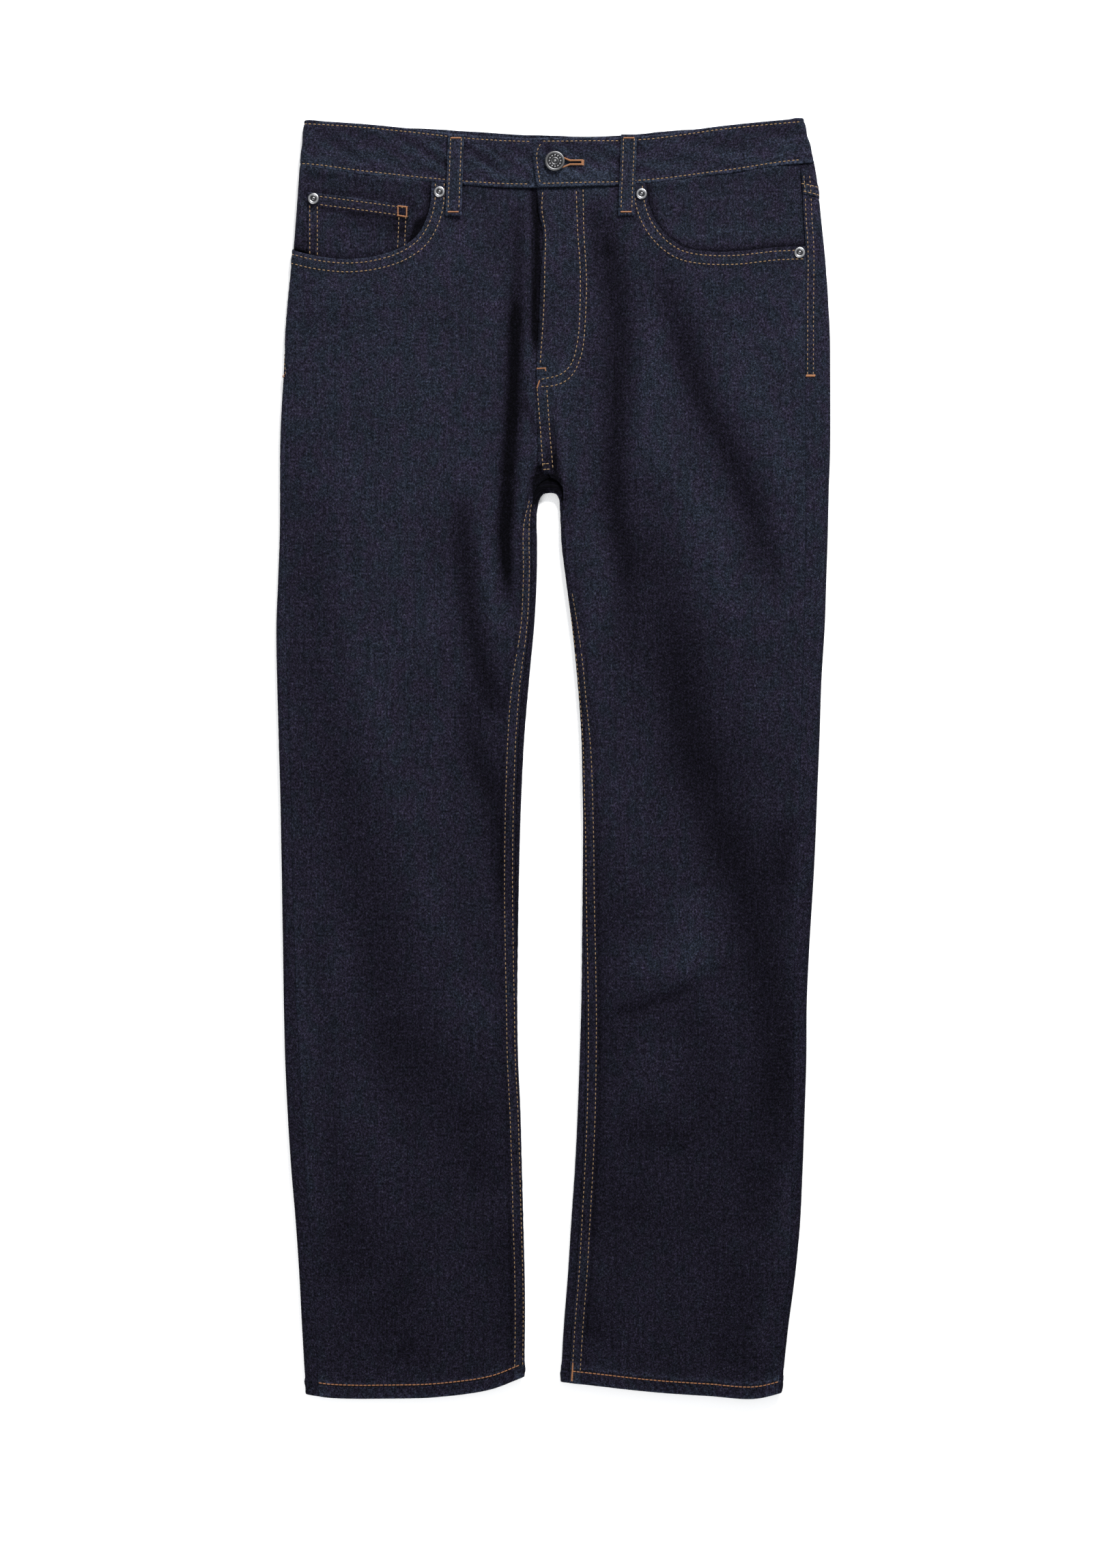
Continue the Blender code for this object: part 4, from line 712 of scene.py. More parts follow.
def denimMaterial(name, lift=1.0):
    # Brightness is a product: yarns to a power, tufts, slubs, patches, ribs and the painted shade of folds
    # and seams. Flecks and
    #     rubbed edges are mixed over it, and in the painted shade the hue turns violet and specular and sheen
    #     fall.
    finish = newFinish(name)
    add, times, plus, mixed = finish.add, finish.times, finish.plus, finish.mixed
    grain = add("UVMap", {}, uv_map="grain")

    def mapped(scale):  # the unrolled grain, in cycles a metre across and along
        return add("Mapping", {"Scale": (*scale, 1), "Vector": grain})

    def noise(which, detail, rough=0.5):  # noise at the scale that is named
        vector = mapped(denim["scales"][which])
        return add("TexNoise", {"Scale": 1.0, "Detail": detail, "Roughness": rough, "Vector": vector})

    def ramp(value, low, high, to=(0.0, 1.0)):  # a straight line from low to high
        ends = {"From Min": low, "From Max": high, "To Min": to[0], "To Max": to[1]}
        return add("MapRange", {**ends, "Value": value})

    along = add("Mapping", {"Rotation": (0, 0, denim["waleTurn"]), "Vector": mapped((1000, 1000))})
    wave = {"Distortion": 3.0, "Detail": 2.0, "Detail Scale": 1.5, "Vector": along}
    wave["Scale"] = fullTurn / (20.0 * denim["walePitch"])
    ribs = add("TexWave", wave, "Fac", wave_type="BANDS", bands_direction="X")
    yarn = noise("yarn", 2.0, 0.70)
    tuft = noise("tuft", 1.0)
    slub = noise("slub", 2.0)
    patch = noise("patch", 2.0)
    hue = noise("hue", 2.0)
    speck = noise("speck", 1.0)
    wear = add("Attribute", {}, "Fac", attribute_name="wear")
    fold = add("Attribute", {}, "Fac", attribute_name="fold")

    bright = add("Math", {0: times(yarn, 2.0), 1: denim["grain"]}, operation="POWER")
    bright = times(bright, ramp(tuft, 0.25, 0.75, (0.62, 1.38)))
    bright = times(bright, ramp(slub, 0.25, 0.75, (0.78, 1.22)))
    bright = times(bright, ramp(patch, 0.25, 0.75, (0.86, 1.14)))
    bright = times(bright, ramp(ribs, 0.0, 1.0, (0.86, 1.14)))
    # the painted shade and light, as a factor on the brightness
    shade = ramp(fold, -1.0, 1.0, denim["foldRange"])
    bright = times(times(bright, shade), denim["tone"] * lift)
    deep = plus(times(shade, -denim["deepHue"]), denim["deepHue"])
    indigo = mixed(plus(ramp(hue, 0.36, 0.64), deep, True), denim["teal"], denim["violet"])
    dyed = add("VectorMath", {0: indigo, "Scale": bright}, operation="SCALE")
    flecks = times(times(ramp(speck, 0.60, 0.76), ramp(tuft, 0.36, 0.66)), times(shade, 0.42), True)
    rubbed = times(ramp(tuft, 0.30, 0.62), times(shade, 0.85))
    rubbed = times(times(wear, ramp(yarn, 0.38, 0.66)), rubbed, True)
    colour = mixed(rubbed, mixed(flecks, dyed, denim["fleck"]), denim["worn"])
    height = plus(plus(times(ribs, 0.5), yarn), times(tuft, 0.7))
    bumped = add("Bump", {"Strength": 0.8, "Distance": 0.0003, "Height": height})
    # an export without links still finds their mean in the sockets
    finish.dress({"Specular IOR Level": 0.05, "Sheen Weight": 0.02, "Sheen Roughness": 0.5})
    finish.dress({"Roughness": 0.92})
    # specular and sheen are dimmed where shade is painted
    shine = plus(shade, 0.8)
    finish.dress({"Specular IOR Level": times(shine, denim["specular"])})
    finish.dress({"Sheen Weight": times(shine, denim["sheen"]), "Sheen Tint": denim["sheenTint"]})
    finish.dress({"Base Color": colour, "Normal": bumped})
    return finish.material


def threadMaterial(name, colour, shade):
    # Two ply thread: fine turns along Object coordinates, and tone that drifts from stitch to stitch.
    finish = newFinish(name)
    place = finish.add("TexCoord", {}, "Object")
    drift = finish.add("TexNoise", {"Scale": 160.0, "Detail": 2.0, "Vector": place})
    fibre = finish.add("TexNoise", {"Scale": 3200.0, "Detail": 2.0, "Vector": place})
    share = finish.times(finish.plus(drift, fibre), 0.55)
    bumped = finish.add("Bump", {"Strength": 0.4, "Distance": 0.0001, "Height": fibre})
    finish.dress({"Base Color": finish.mixed(share, shade, colour), "Normal": bumped})
    finish.dress({"Roughness": 0.55, "Sheen Weight": 0.15})
    return finish.material


def metalMaterial(name, bright, dull, rough):
    # Plated metal: brightness and roughness drift with noise on Object coordinates.
    finish = newFinish(name)
    place = finish.add("TexCoord", {}, "Object")
    stain = finish.add("TexNoise", {"Scale": 420.0, "Detail": 4.0, "Vector": place})
    wear = finish.add("Attribute", {}, "Fac", attribute_name="wear")
    polish = finish.plus(finish.times(stain, 0.12), finish.times(wear, 0.95), True)
    spread = finish.add("MapRange", {"To Min": rough - 0.08, "To Max": rough + 0.12, "Value": stain})
    finish.dress({"Base Color": finish.mixed(polish, dull, bright), "Metallic": 1.0, "Roughness": spread})
    return finish.material


def addWall(name, node, slot, outer, inner, uv, wear, fold=None, keep=None, inside=None):
    # A piece of cloth as a closed wall, in place of the CAD node that it finishes.
    mesh = wallMesh(name, outer, inner, uv, wear, keep, fold, inside)
    return addPiece(name, mesh, clothFinish[slot], [node])


denimFinish = denimMaterial("dark_denim")
bandFinish = denimMaterial("dark_denim_band", 1.06)
goldThread = threadMaterial("golden_thread", (0.245, 0.145, 0.048, 1), (0.072, 0.036, 0.011, 1))
tackThread = threadMaterial("orange_thread", (0.265, 0.098, 0.018, 1), (0.085, 0.026, 0.006, 1))
tapeFinish = threadMaterial("zip_tape", (0.022, 0.024, 0.033, 1), (0.011, 0.013, 0.020, 1))
nickelFinish = metalMaterial("bright_nickel", (0.42, 0.42, 0.43, 1), (0.020, 0.020, 0.024, 1), 0.32)
agedFinish = metalMaterial("aged_nickel", (0.150, 0.150, 0.152, 1), (0.012, 0.012, 0.014, 1), 0.44)
clothFinish = {"denim": denimFinish, "denim_band": bandFinish, "zip_tape": tapeFinish}
print("finishes made")


stitch = {"pitch": 4.0, "length": 3.15, "radius": 0.36, "rise": 0.30, "seed": 1, "drift": 0.10}
stitchSteps = np.array([0.0, 0.14, 0.5, 0.86, 1.0])
stitchSwell = np.array([0.55, 0.95, 1.05, 0.95, 0.55])
stitchLift = np.array([-0.75, 0.35, 1.0, 0.35, -0.75])
stitchTurns = np.linspace(0, 2 * math.pi, 7)[:-1]
threads = {}  # finished stitches by the name of their piece


def keepThread(piece, points, faces):
    # Sewing is gathered by area and made at the end.
    threads.setdefault(piece, []).append((points, faces))


def stitchMesh(starts, ends, normals, radius, rise):
    # A six sided tube along each chord that rises out of the cloth and dips at both ends.
    way = unit(ends - starts)
    across = unit(np.cross(normals, way))
    up = np.cross(way, across)
    centre = starts[:, None] + (ends - starts)[:, None] * stitchSteps[None, :, None]
    centre = centre + up[:, None] * (rise * stitchLift)[None, :, None]
    ring = np.cos(stitchTurns)[None, None, :, None] * across[:, None, None]
    ring = ring + 0.8 * np.sin(stitchTurns)[None, None, :, None] * up[:, None, None]
    points = centre[:, :, None] + radius * stitchSwell[None, :, None, None] * ring
    count, rings, sides = points.shape[:3]
    base = np.arange(rings * sides).reshape(rings, sides)
    a, b = base[:-1], np.roll(base[:-1], -1, axis=1)
    c, d = np.roll(base[1:], -1, axis=1), base[1:]
    tube = np.stack([a, b, c, d], axis=-1).reshape(-1, 4)
    first, last = base[0], base[-1]
    caps = np.array([
        [first[5], first[4], first[1], first[0]], [first[4], first[3], first[2], first[1]],
        [last[0], last[1], last[4], last[5]], [last[1], last[2], last[3], last[4]],
    ])
    one = np.concatenate([tube, caps])
    faces = (one[None] + (np.arange(count) * rings * sides)[:, None, None]).reshape(-1, 4)
    return points.reshape(-1, 3), faces


def sewRow(piece, places, normals, start=0.0, **own):
    # Stitches of one length at one pitch along a path on the cloth, each a little out of place.
    made = {**stitch, **own}
    pitch, length = made["pitch"], made["length"]
    run = lengthsAlong(places)
    count = int((run[-1] - start - length) // pitch) + 1
    drift = np.random.default_rng(made["seed"] + count).normal(0, made["drift"], (2, count))
    begin = start + np.arange(count) * pitch + drift[0]
    end = begin + length + 0.6 * drift[1]
    middle = unit(pointsAt(normals, run, (begin + end) / 2))
    ends = pointsAt(places, run, begin), pointsAt(places, run, end)
    keepThread(piece, *stitchMesh(*ends, middle, made["radius"], made["rise"]))


def sewTack(piece, centre, along, up, length, width, pitch=0.42, radius=0.34):
    # A close row of stitches square to its length, with a second layer laid the other way.
    centre, along, up = (np.asarray(v, float) for v in (centre, along, up))
    along, up = unit(along), unit(up)
    side = np.cross(up, along)
    places = np.arange(-length / 2, length / 2 + 0.01, pitch)
    seed = int(abs(centre[0] * 7 + centre[1])) % 1000
    wobble = np.random.default_rng(seed).normal(0, 0.09, (2, len(places)))
    middle = centre + places[:, None] * along
    half = (width / 2 + wobble[0])[:, None] * side
    lean = 0.25 * along
    normals = np.tile(up, (len(places), 1))
    starts, ends = middle - half - lean, middle + half + lean
    keepThread(piece, *stitchMesh(starts, ends, normals, radius, 0.42))


fly = {
    "liftTo": 31.0,       # x up to which the left front stays up on the right one
    "underX": -1.2,       # how far the right front runs on under the lap
    "lap": 1.6,
    "edgeRow": 3.4,       # first stitch row in from the folded edge
    "facing": 0.45,       # how far the doubled cloth under the fly lifts it
}
flyCurve = pathOf((
    (24.5, 474), (25.1, 439), (27.1, 405), (27.1, 382), (25.1, 348), (21.7, 332), (14.3, 318),
    (2.3, 311), (-13.7, 309.5),
))
flyInner = pathOf((
    (18.8, 474), (20.0, 439), (22.2, 405), (21.7, 370), (20.0, 348), (15.4, 330), (5.7, 319.8),
    (-12.5, 315.2),
))
flyEdgeRow = pathOf((
    (-9.1, 472.5), (-9.7, 456.6), (-6.8, 437.2), (-7.4, 408.7), (-7.6, 394.4), (-8.6, 367), (-11.3, 327),
))
crotchRows = (
    pathOf([(-13.7, 308), (-11.0, 274), (-8.6, 236.5)]),
    pathOf([(-5.7, 308), (-3.4, 274), (-0.6, 241.0)]),
)
mouthPaths = {leg: pathOf(points) for leg, points in mouths.items()}


def mouthAway(leg, x, y):
    # Distance from the front pocket's mouth.
    return awayFrom(x, y, mouthPaths[leg][::3])


pocketEdge = {"rows": (3.5, 10.8), "reach": 13.0, "height": 0.75}
felled = {"rows": (2.0, 8.6), "reach": 10.2, "height": 0.85}


def felledShare(leg, y):
    # The seam's band narrows towards the crotch, where it turns on its side.
    if leg == "left":
        return 1 - 0.26 * rising(y, -20.0, 80.0)
    return 1 - 0.26 * rising(y, 50.0, 70.0) - 0.40 * rising(y, 185.0, 25.0)


def lapRise(x, y):
    # The left front rides over the right one up to its lift line, then comes down over 12.
    hold = np.where(y > 305, fly["liftTo"], 6.0 + (fly["liftTo"] - 6.0) * rising(y, 275, 30))
    return fly["lap"] * falling(x, hold, 12.0) * rising(y, 205.0, 22.0)


def hipRelief(leg, x, y):
    # Ridges of the pocket's mouth, the fly and the crotch seam, grooved at their stitch rows.
    mouth, along = lineDistance(x, y, mouthPaths[leg][::3])
    length = along * 190.0  # near the mouth's own
    relief = pocketEdge["height"] * bump(mouth, pocketEdge["reach"] - 2.0, 2.4)
    relief += furrows(mouth, pocketEdge["rows"])
    relief += pucker(length, mouth - 6.5, 7.5, 0.20, 9.0) - turnedEdge(mouth)
    seam = sideOf[leg] * (seamX(leg, y) - x)
    relief += -0.45 * bell(seam, 1.3) + 0.35 * bump(seam, 10.0, 5.0)
    relief += pucker(y, seam, 9.0, 0.16, 8.0)
    if leg == "left":
        inside = awayFrom(x, y, flyCurve[::6])
        edge = x - smoothCurve(flyEdge, y)
        within = (x < smoothCurve([(p[1], p[0]) for p in flyCurve[::12]][::-1], y)) & (y > 309)
        relief += fly["facing"] * np.where(within, 1.0, 1 - ease(inside / 2.2))
        relief += sum(furrow(awayFrom(x, y, row[::6]), 0.8, 0.30) for row in (flyCurve, flyInner))
        relief += sum(furrow(awayFrom(x, y, row[::6]), 0.9, 0.34) for row in crotchRows)
        relief += furrow(edge - fly["edgeRow"], 0.8, 0.26) - turnedEdge(edge)
        relief += pucker(y, edge - 5.0, 8.0, 0.22, 9.0) * (y < 318)
        relief += pucker(y, inside, 11.0, 0.12, 12.0)
    waist = smoothCurve(waistSeam, x) - y
    relief += pucker(x, waist, 9.0, 0.22, 8.0) - 0.5 * bell(waist, 2.0)
    return relief


def legRelief(leg, x, y, side, inner):
    # Ridge of the felled inseam, the pressed open side seam, and the hem's turned up plies.
    share = felledShare(leg, y)
    relief = felled["height"] * bump(inner, felled["reach"] * share - 1.5, 2.2) - turnedEdge(inner)
    relief += sum(furrow(inner - row * share, 0.8, 0.36) for row in felled["rows"])
    relief += pucker(y, inner - 5.0, 8.5, 0.20, 9.0)
    relief += -0.5 * bell(side, 1.2) + 0.32 * bump(side, 11.0, 4.0)
    relief += pucker(y, side, 10.0, 0.16, 9.0)
    return relief + hemRelief(x, y)


hem = {"depth": (12.8, 14.0), "row": (11.4, 12.6), "rise": 0.65, "rope": 7.5}  # right leg, left leg


def hemOf(x, what):
    # The right leg's value where x is negative, the left leg's elsewhere.
    return np.where(x < 0, *hem[what])


def hemRope(x, up):
    # Slanted ropes of uneven pitch, strongest midway up the hem.
    rope = np.sin(fullTurn * (x + 0.8 * up) / hem["rope"] + 1.3 * np.sin(x / 21.0))
    return rope * bell(up - 6.0, 7.0) * (0.6 + 0.4 * np.sin(x / 17.0 + 2.0))


def hemRelief(x, y):
    # A step up below the hem's top edge, a groove at its stitches and slanted ropes across it.
    up = y + hemLine
    step = hem["rise"] * falling(up, hemOf(x, "depth") - 0.8, 1.6)
    return step + 0.30 * hemRope(x, up) + furrow(up - hemOf(x, "row"), 0.8, 0.32) - turnedEdge(up)


def wearOf(*edges):
    # Lighter where an edge is rubbed: the largest of gain times e to the minus distance over reach.
    rubs = [gain * np.exp(-np.abs(away) / reach) for away, gain, reach in edges]
    return np.clip(np.maximum.reduce(rubs), 0, 1)


def mouthAndWaist(leg, count):
    # The front's upper edge: the pocket's mouth by length from the side seam, then the waist.
    mouth = mouthPaths[leg].copy()
    seamTop = np.array([float(seamX(leg, mouthLowY)) - sideOf[leg] * halfGap, mouthLowY])
    mouth += (seamTop - mouth[0])[None] * (1 - ease(np.linspace(0, 6, len(mouth))))[:, None]
    endX = fly["underX"] if leg == "right" else float(smoothCurve(flyEdge, 476.0))
    share = abs(endX - mouth[-1, 0]) / (abs(endX - mouth[-1, 0]) + 150.0)
    waistCount = int(count * share * 0.86)
    waistX = np.linspace(mouth[-1, 0], endX, waistCount + 1)[1:]
    waist = np.c_[waistX, smoothCurve(waistSeam, waistX) + 0.4]
    mouth[-1, 1] = smoothCurve(waistSeam, mouth[-1, 0]) + 0.4
    run = lengthsAlong(mouth)
    even = np.linspace(0, 1, count - waistCount)
    spots = run[-1] * (0.45 * even + 0.55 * even**2 * (1.7 - 0.7 * even))
    return np.concatenate([pointsAt(mouth, run, spots), waist])


def legHeights(cell):
    # Close rows over the hem, then even ones to the crotch.
    hemTop = 15.0 - hemLine
    even = np.arange(hemTop + cell, crotchY - 1.0, cell)
    return np.concatenate([np.linspace(-hemLine, hemTop, 14), even, [crotchY]])


def legGrid(leg, face, cell, spare, zones, counts, crowding):
    # Rows from the hem to the crotch. Columns run round the outer edge from the side seam, straight
    # across, and round the inner edge to the inseam. face is 1 on the front and -1 on the back.
    rows = legRows(leg, rowPlaces(leg, legHeights(cell)))

    def arcsFrom(seam, zone, count, crowd):  # even shares, crowded at the seam by their square
        even = np.linspace(0, 1, count)[None]
        return seam + (zone - seam) * ((1 - crowd) * even + crowd * even**2)

    sideSeam, inseam = ((rows[name] + spare)[:, None] for name in ("sideSeam", "inseam"))
    sideArcs = arcsFrom(sideSeam, zones[0], counts[0], crowding[0])
    innerArcs = arcsFrom(inseam, zones[1], counts[2], crowding[1])[:, ::-1]
    flat = edgeRadius - quarter  # plan less arc length, past the turn
    startX, startY = wayIn(rows, "outer", np.full(len(rows["y"]), flat + abs(zones[0])))
    endX, endY = wayIn(rows, "inner", np.full(len(rows["y"]), flat + abs(zones[1])))
    shares = np.linspace(0, 1, counts[1])[1:-1]
    middleX = startX[:, None] + (endX - startX)[:, None] * shares
    middleY = startY[:, None] + (endY - startY)[:, None] * shares
    # unrolled, for the grain and for distances
    outerU, outerV = wayIn(rows, "outer", face * sideArcs + flat)
    innerU, innerV = wayIn(rows, "inner", face * innerArcs + flat)
    return SimpleNamespace(
        rows=rows, sideSeam=sideSeam, inseam=inseam, sideArcs=sideArcs, innerArcs=innerArcs,
        middleX=middleX, middleY=middleY, toEnd=np.hypot(middleX - endX[:, None], middleY - endY[:, None]),
        planX=np.concatenate([outerU, middleX, innerU], axis=1),
        planY=np.concatenate([outerV, middleY, innerV], axis=1),
        innerStart=counts[0] + len(shares),
    )


def hipPlan(grid, upper, leftCurve, along, centreOf):
    # The panel above the crotch, blended between the leg's last row, its upper edge, the side seam
    # and the centre line.
    columns = grid.innerStart + 1
    lower = np.stack([grid.planX[-1, :columns], grid.planY[-1, :columns]], axis=1)
    share = (leftCurve[:, 1] - leftCurve[0, 1]) / (leftCurve[-1, 1] - leftCurve[0, 1])
    centreY = lower[-1, 1] + share * (upper[-1, 1] - lower[-1, 1])
    centreCurve = np.stack([centreOf(lower[-1, 0], share, centreY), centreY], axis=1)
    leftCurve[0], upper[0], centreCurve[-1] = lower[0], leftCurve[-1], upper[-1]
    return coons(lower, upper, leftCurve, centreCurve, along, share)[1:]


def makePanel(name, leg, face, grid, plan, relief, hipHeight, wear, hipWear, shades, rise=None):
    # Both faces of the cloth: the leg's three zones and the hip above them, as one grid whose
    # columns past the crotch are left out. The relief fades from the leg's to the hip's.
    hx, hy = plan[..., 0], plan[..., 1]
    near = falling(hy, crotchY, 12.0)
    hipHeight = hipHeight * (1 - near) + near * relief[-1, :grid.innerStart + 1][None]
    a, b = grid.sideArcs.shape[1], grid.innerStart

    def joined(below, above):  # the hip's last column is repeated past the crotch
        extra = np.repeat(above[:, -1:], grid.innerArcs.shape[1] - 1, axis=1)
        return np.concatenate([below, np.concatenate([above, extra], axis=1)])

    layers = []
    for depth, part in ((0.0, 1.0), (cloth["wall"], 0.35)):
        reach = depth - part * relief
        if face > 0:
            z = topZ(grid.middleX, grid.middleY) - reach[:, a:b]
        else:
            z = backZ(grid.middleX, grid.middleY) + np.maximum(reach[:, a:b], depth - 0.15)
        outer = legEdgePoint(grid.rows, "outer", grid.sideArcs, reach[:, :a])
        inner = legEdgePoint(grid.rows, "inner", grid.innerArcs, reach[:, b:])
        below = np.concatenate([outer, placed(grid.middleX, grid.middleY, z), inner], axis=1)
        layers.append(joined(below, hipPoint(face, leg, hx, hy, depth - part * hipHeight)))
    if rise:
        lifted = rise(layers[0][..., 0], layers[0][..., 1])
        for layer in layers:
            layer[..., 2] += lifted
    uv = np.stack([joined(grid.planX, hx), joined(grid.planY, hy)], axis=-1)
    keep = np.ones((uv.shape[0] - 1, uv.shape[1] - 1), bool)
    keep[len(grid.planX) - 1:, grid.innerStart:] = False
    fold, inside = shades(uv[..., 0], uv[..., 1])
    return addWall("denim_" + name, name, "denim", *layers, uv, joined(wear, hipWear), fold, keep, inside)


frontPaintedShadeAndWear = {  # how much painted light (above 0) or painted shade (below 0) each place has against the cloth round it; the hem's edges are also rubbed lighter
    "inseamRidge": 0.16, "inseamFoot": -0.22, "hem": 0.12, "hemRope": 0.42, "hemFold": 0.25,
    "hemCorner": 0.34, "hemTop": 0.16, "mouthFoot": -0.08, "mouthRim": 0.09, "waist": -0.14,
    "crotch": -0.9, "crotchFlap": -0.6, "crotchCloth": -0.28, "besideLoop": -0.18,
    "leftMouth": -0.50, "leftCrotch": -0.24, "leftWaist": 0.60,
}


def innerEdgePaintedShade(leg, y):
    # Painted shade along the inner edge where it rolls under, deeper towards the hem on the right leg and
    # towards the crotch on the left, and how far in it reaches.
    if leg == "right":
        return 0.34 + 0.26 * falling(y, -490.0, 30.0), 3.4
    deep = 0.08 + 0.24 * rising(y, -250.0, 120.0) + 0.36 * rising(y, -20.0, 60.0)
    return deep, 3.4 + 3.2 * rising(y, -200.0, 150.0)


def makeFront(leg):
    # A front leg: its distances to the seams first, then relief, wear and painted shade as sums over them.
    side, tone = sideOf[leg], frontPaintedShadeAndWear
    zones = (cloth["outerZone"], cloth["innerZone"])
    columns, crowding = cloth["frontColumns"], cloth["frontCrowding"]
    grid = legGrid(leg, 1, cloth["legCell"], halfGap, zones, columns, crowding)
    planX, planY = grid.planX, grid.planY
    toSide = side * (seamX(leg, planY) - planX)
    toInner = np.concatenate([
        np.full(grid.sideArcs.shape, farAway), grid.toEnd + zones[1] - grid.inseam,
        grid.innerArcs - grid.inseam,
    ], axis=1)
    relief = legRelief(leg, planX, planY, toSide, toInner)
    fadeUp = rising(planY, 200.0, 30.0)
    relief = relief * (1 - fadeUp) + fadeUp * np.minimum(relief, 0.9)
    up, depth = planY + hemLine, hemOf(planX, "depth")
    wear = wearOf((toInner - 0.4, 0.22, 1.1), (toSide, 0.30, 1.2), (up, 0.75, 1.5),
                  (up - depth + 0.4, 0.30, 1.2))

    def centreOf(start, share, y):
        # right: out under the lap; left: along the fly's folded edge
        if leg == "right":
            return start + (fly["underX"] - start) * ease(share / 0.2)
        return start + (smoothCurve(flyEdge, y) - start) * ease(share / 0.03)

    columns = grid.innerStart + 1
    hipY = np.linspace(crotchY, mouthLowY, int(195 / cloth["hipCell"]))
    leftCurve = np.c_[seamX(leg, hipY) - side * halfGap, hipY]
    plan = hipPlan(grid, mouthAndWaist(leg, columns), leftCurve, np.linspace(0, 1, columns), centreOf)
    hx, hy = plan[..., 0], plan[..., 1]
    edges = [(mouthAway(leg, hx, hy), {"right": 0.50, "left": 0.25}[leg], 1.1),
             (side * (seamX(leg, hy) - hx), 0.3, 1.2)]
    if leg == "left":
        edges += [(hx - smoothCurve(flyEdge, hy) - 0.4, 0.9, 1.3)]

    def shades(x, y):  # the folds' painted shade, and a bell or plateau of painted shade or light beside each seam and edge
        fold = foldShade(x, y, folds)
        below = fold[:len(planX)]  # a view of the leg's rows, so the painted shade gains what it gains
        ridge = felled["reach"] * felledShare(leg, planY)
        below += tone["inseamRidge"] * bump(toInner, ridge - 1.5, 2.2)
        below += tone["inseamFoot"] * bell(toInner - ridge - 1.2, 2.2)
        edgeShadeDepth, edgeReach = innerEdgePaintedShade(leg, planY)
        below -= edgeShadeDepth * bell(toInner, edgeReach)
        below += (tone["hem"] + tone["hemRope"] * hemRope(planX, up)) * (up < depth)
        below += tone["hemFold"] * bell(up, 2.0)
        atCorner = bump(toInner, 6.0, 4.0) + bump(toSide, 8.0, 5.0)
        below += tone["hemCorner"] * atCorner * falling(up, 14.0, 7.0)
        below += tone["hemTop"] * bell(up - depth - 0.5, 2.0)
        mouthNear = mouthAway(leg, x, y)
        waistNear = smoothCurve(waistSeam, x) - y
        fold += tone["mouthFoot"] * bell(mouthNear - pocketEdge["reach"] - 1.4, 2.0)
        fold += tone["mouthRim"] * bump(mouthNear - 9.0, 5.0, 3.0)
        fold += tone["waist"] * bell(np.maximum(waistNear, 0.0), 3.0)
        # the crotch, the flap beside it and the cloth above it painted dark, as the back's crotch shows in
        # shadow there
        fold += tone["crotch"] * bump(x + 6.5, 9.0, 4.0) * falling(y, 234.0, 3.0)
        fold += tone["crotchFlap"] * bump(x + 12.5, 2.4, 2.0) * bump(y - 239.0, 4.0, 3.0)
        fold += tone["crotchCloth"] * bump(x + 7.0, 8.0, 5.0) * falling(y, 246.0, 14.0)
        # on the left: painted shadow under the mouth's edge and at the crotch, painted light under the band
        # by the fly
        if leg == "left":
            fold += tone["leftMouth"] * bell(mouthNear, 2.0)
            fold += tone["leftCrotch"] * bump(x + 5.0, 6.0, 5.0) * bump(y - 249.0, 6.0, 12.0)
            fold += tone["leftWaist"] * bump(x - 15.0, 26.0, 8.0) * bell(waistNear, 4.5)
        # painted shadow beside each belt loop
        for loopX, _ in frontLoopPlaces.values():
            fold += tone["besideLoop"] * bump(x - loopX + 1.0, 7.0, 5.0) * rising(y, 441.0, 7.0)
        return fold, None

    return makePanel("front_" + leg, leg, 1, grid, plan, relief, hipRelief(leg, hx, hy), wear,
                     wearOf(*edges), shades, lapRise if leg == "left" else None)


fronts = {leg: makeFront(leg) for leg in sideOf}
print("fronts made")


backPocket = {
    "centres": {"right": -107.0, "left": 102.0}, "topHalf": 76.0, "lowHalf": 68.0,
    "topY": 389.0, "cornerY": 262.0, "tipY": 240.0, "wall": 1.3, "rows": (2.2, 8.6), "hemRow": 15.0,
}
yokeSeam = {"centreY": 408.0, "sideY": 463.0, "half": 212.0, "rows": (2.2, 8.8)}
backRows = {"centre": (2.2, 8.8), "side": (2.0, 6.8), "sideEndY": 319.0}


def pocketOutline(leg, row):
    # The back pocket's sides and point, at a row's distance in from its edge.
    shape, centre = backPocket, backPocket["centres"][leg]
    top, low = shape["topHalf"] - row, shape["lowHalf"] - row
    corner, tip = shape["cornerY"] + 0.75 * row, shape["tipY"] + 1.05 * row
    return [(centre - top, shape["topY"] - 1.5), (centre - low, corner), (centre, tip),
            (centre + low, corner), (centre + top, shape["topY"] - 1.5)]


def yokeSeamY(x):
    # The yoke seam climbs evenly from the centre back to the side seam.
    return yokeSeam["centreY"] + (yokeSeam["sideY"] - yokeSeam["centreY"]) * np.abs(
        x - cloth["centreX"]) / yokeSeam["half"]


def backSeamX(leg, y):
    # The side seam's place on the unrolled lower layer: the edge plus what wraps round it.
    return edgeX(leg, y) + sideOf[leg] * (seamArc(leg, y) + tuck + quarter - edgeRadius)


def yokeCorner(leg):
    # Where the yoke seam meets the side seam on the unrolled lower layer.
    y = yokeSeam["sideY"]
    for _ in range(8):
        x = float(backSeamX(leg, y))
        y = float(yokeSeamY(x))
    return np.array([x, y])


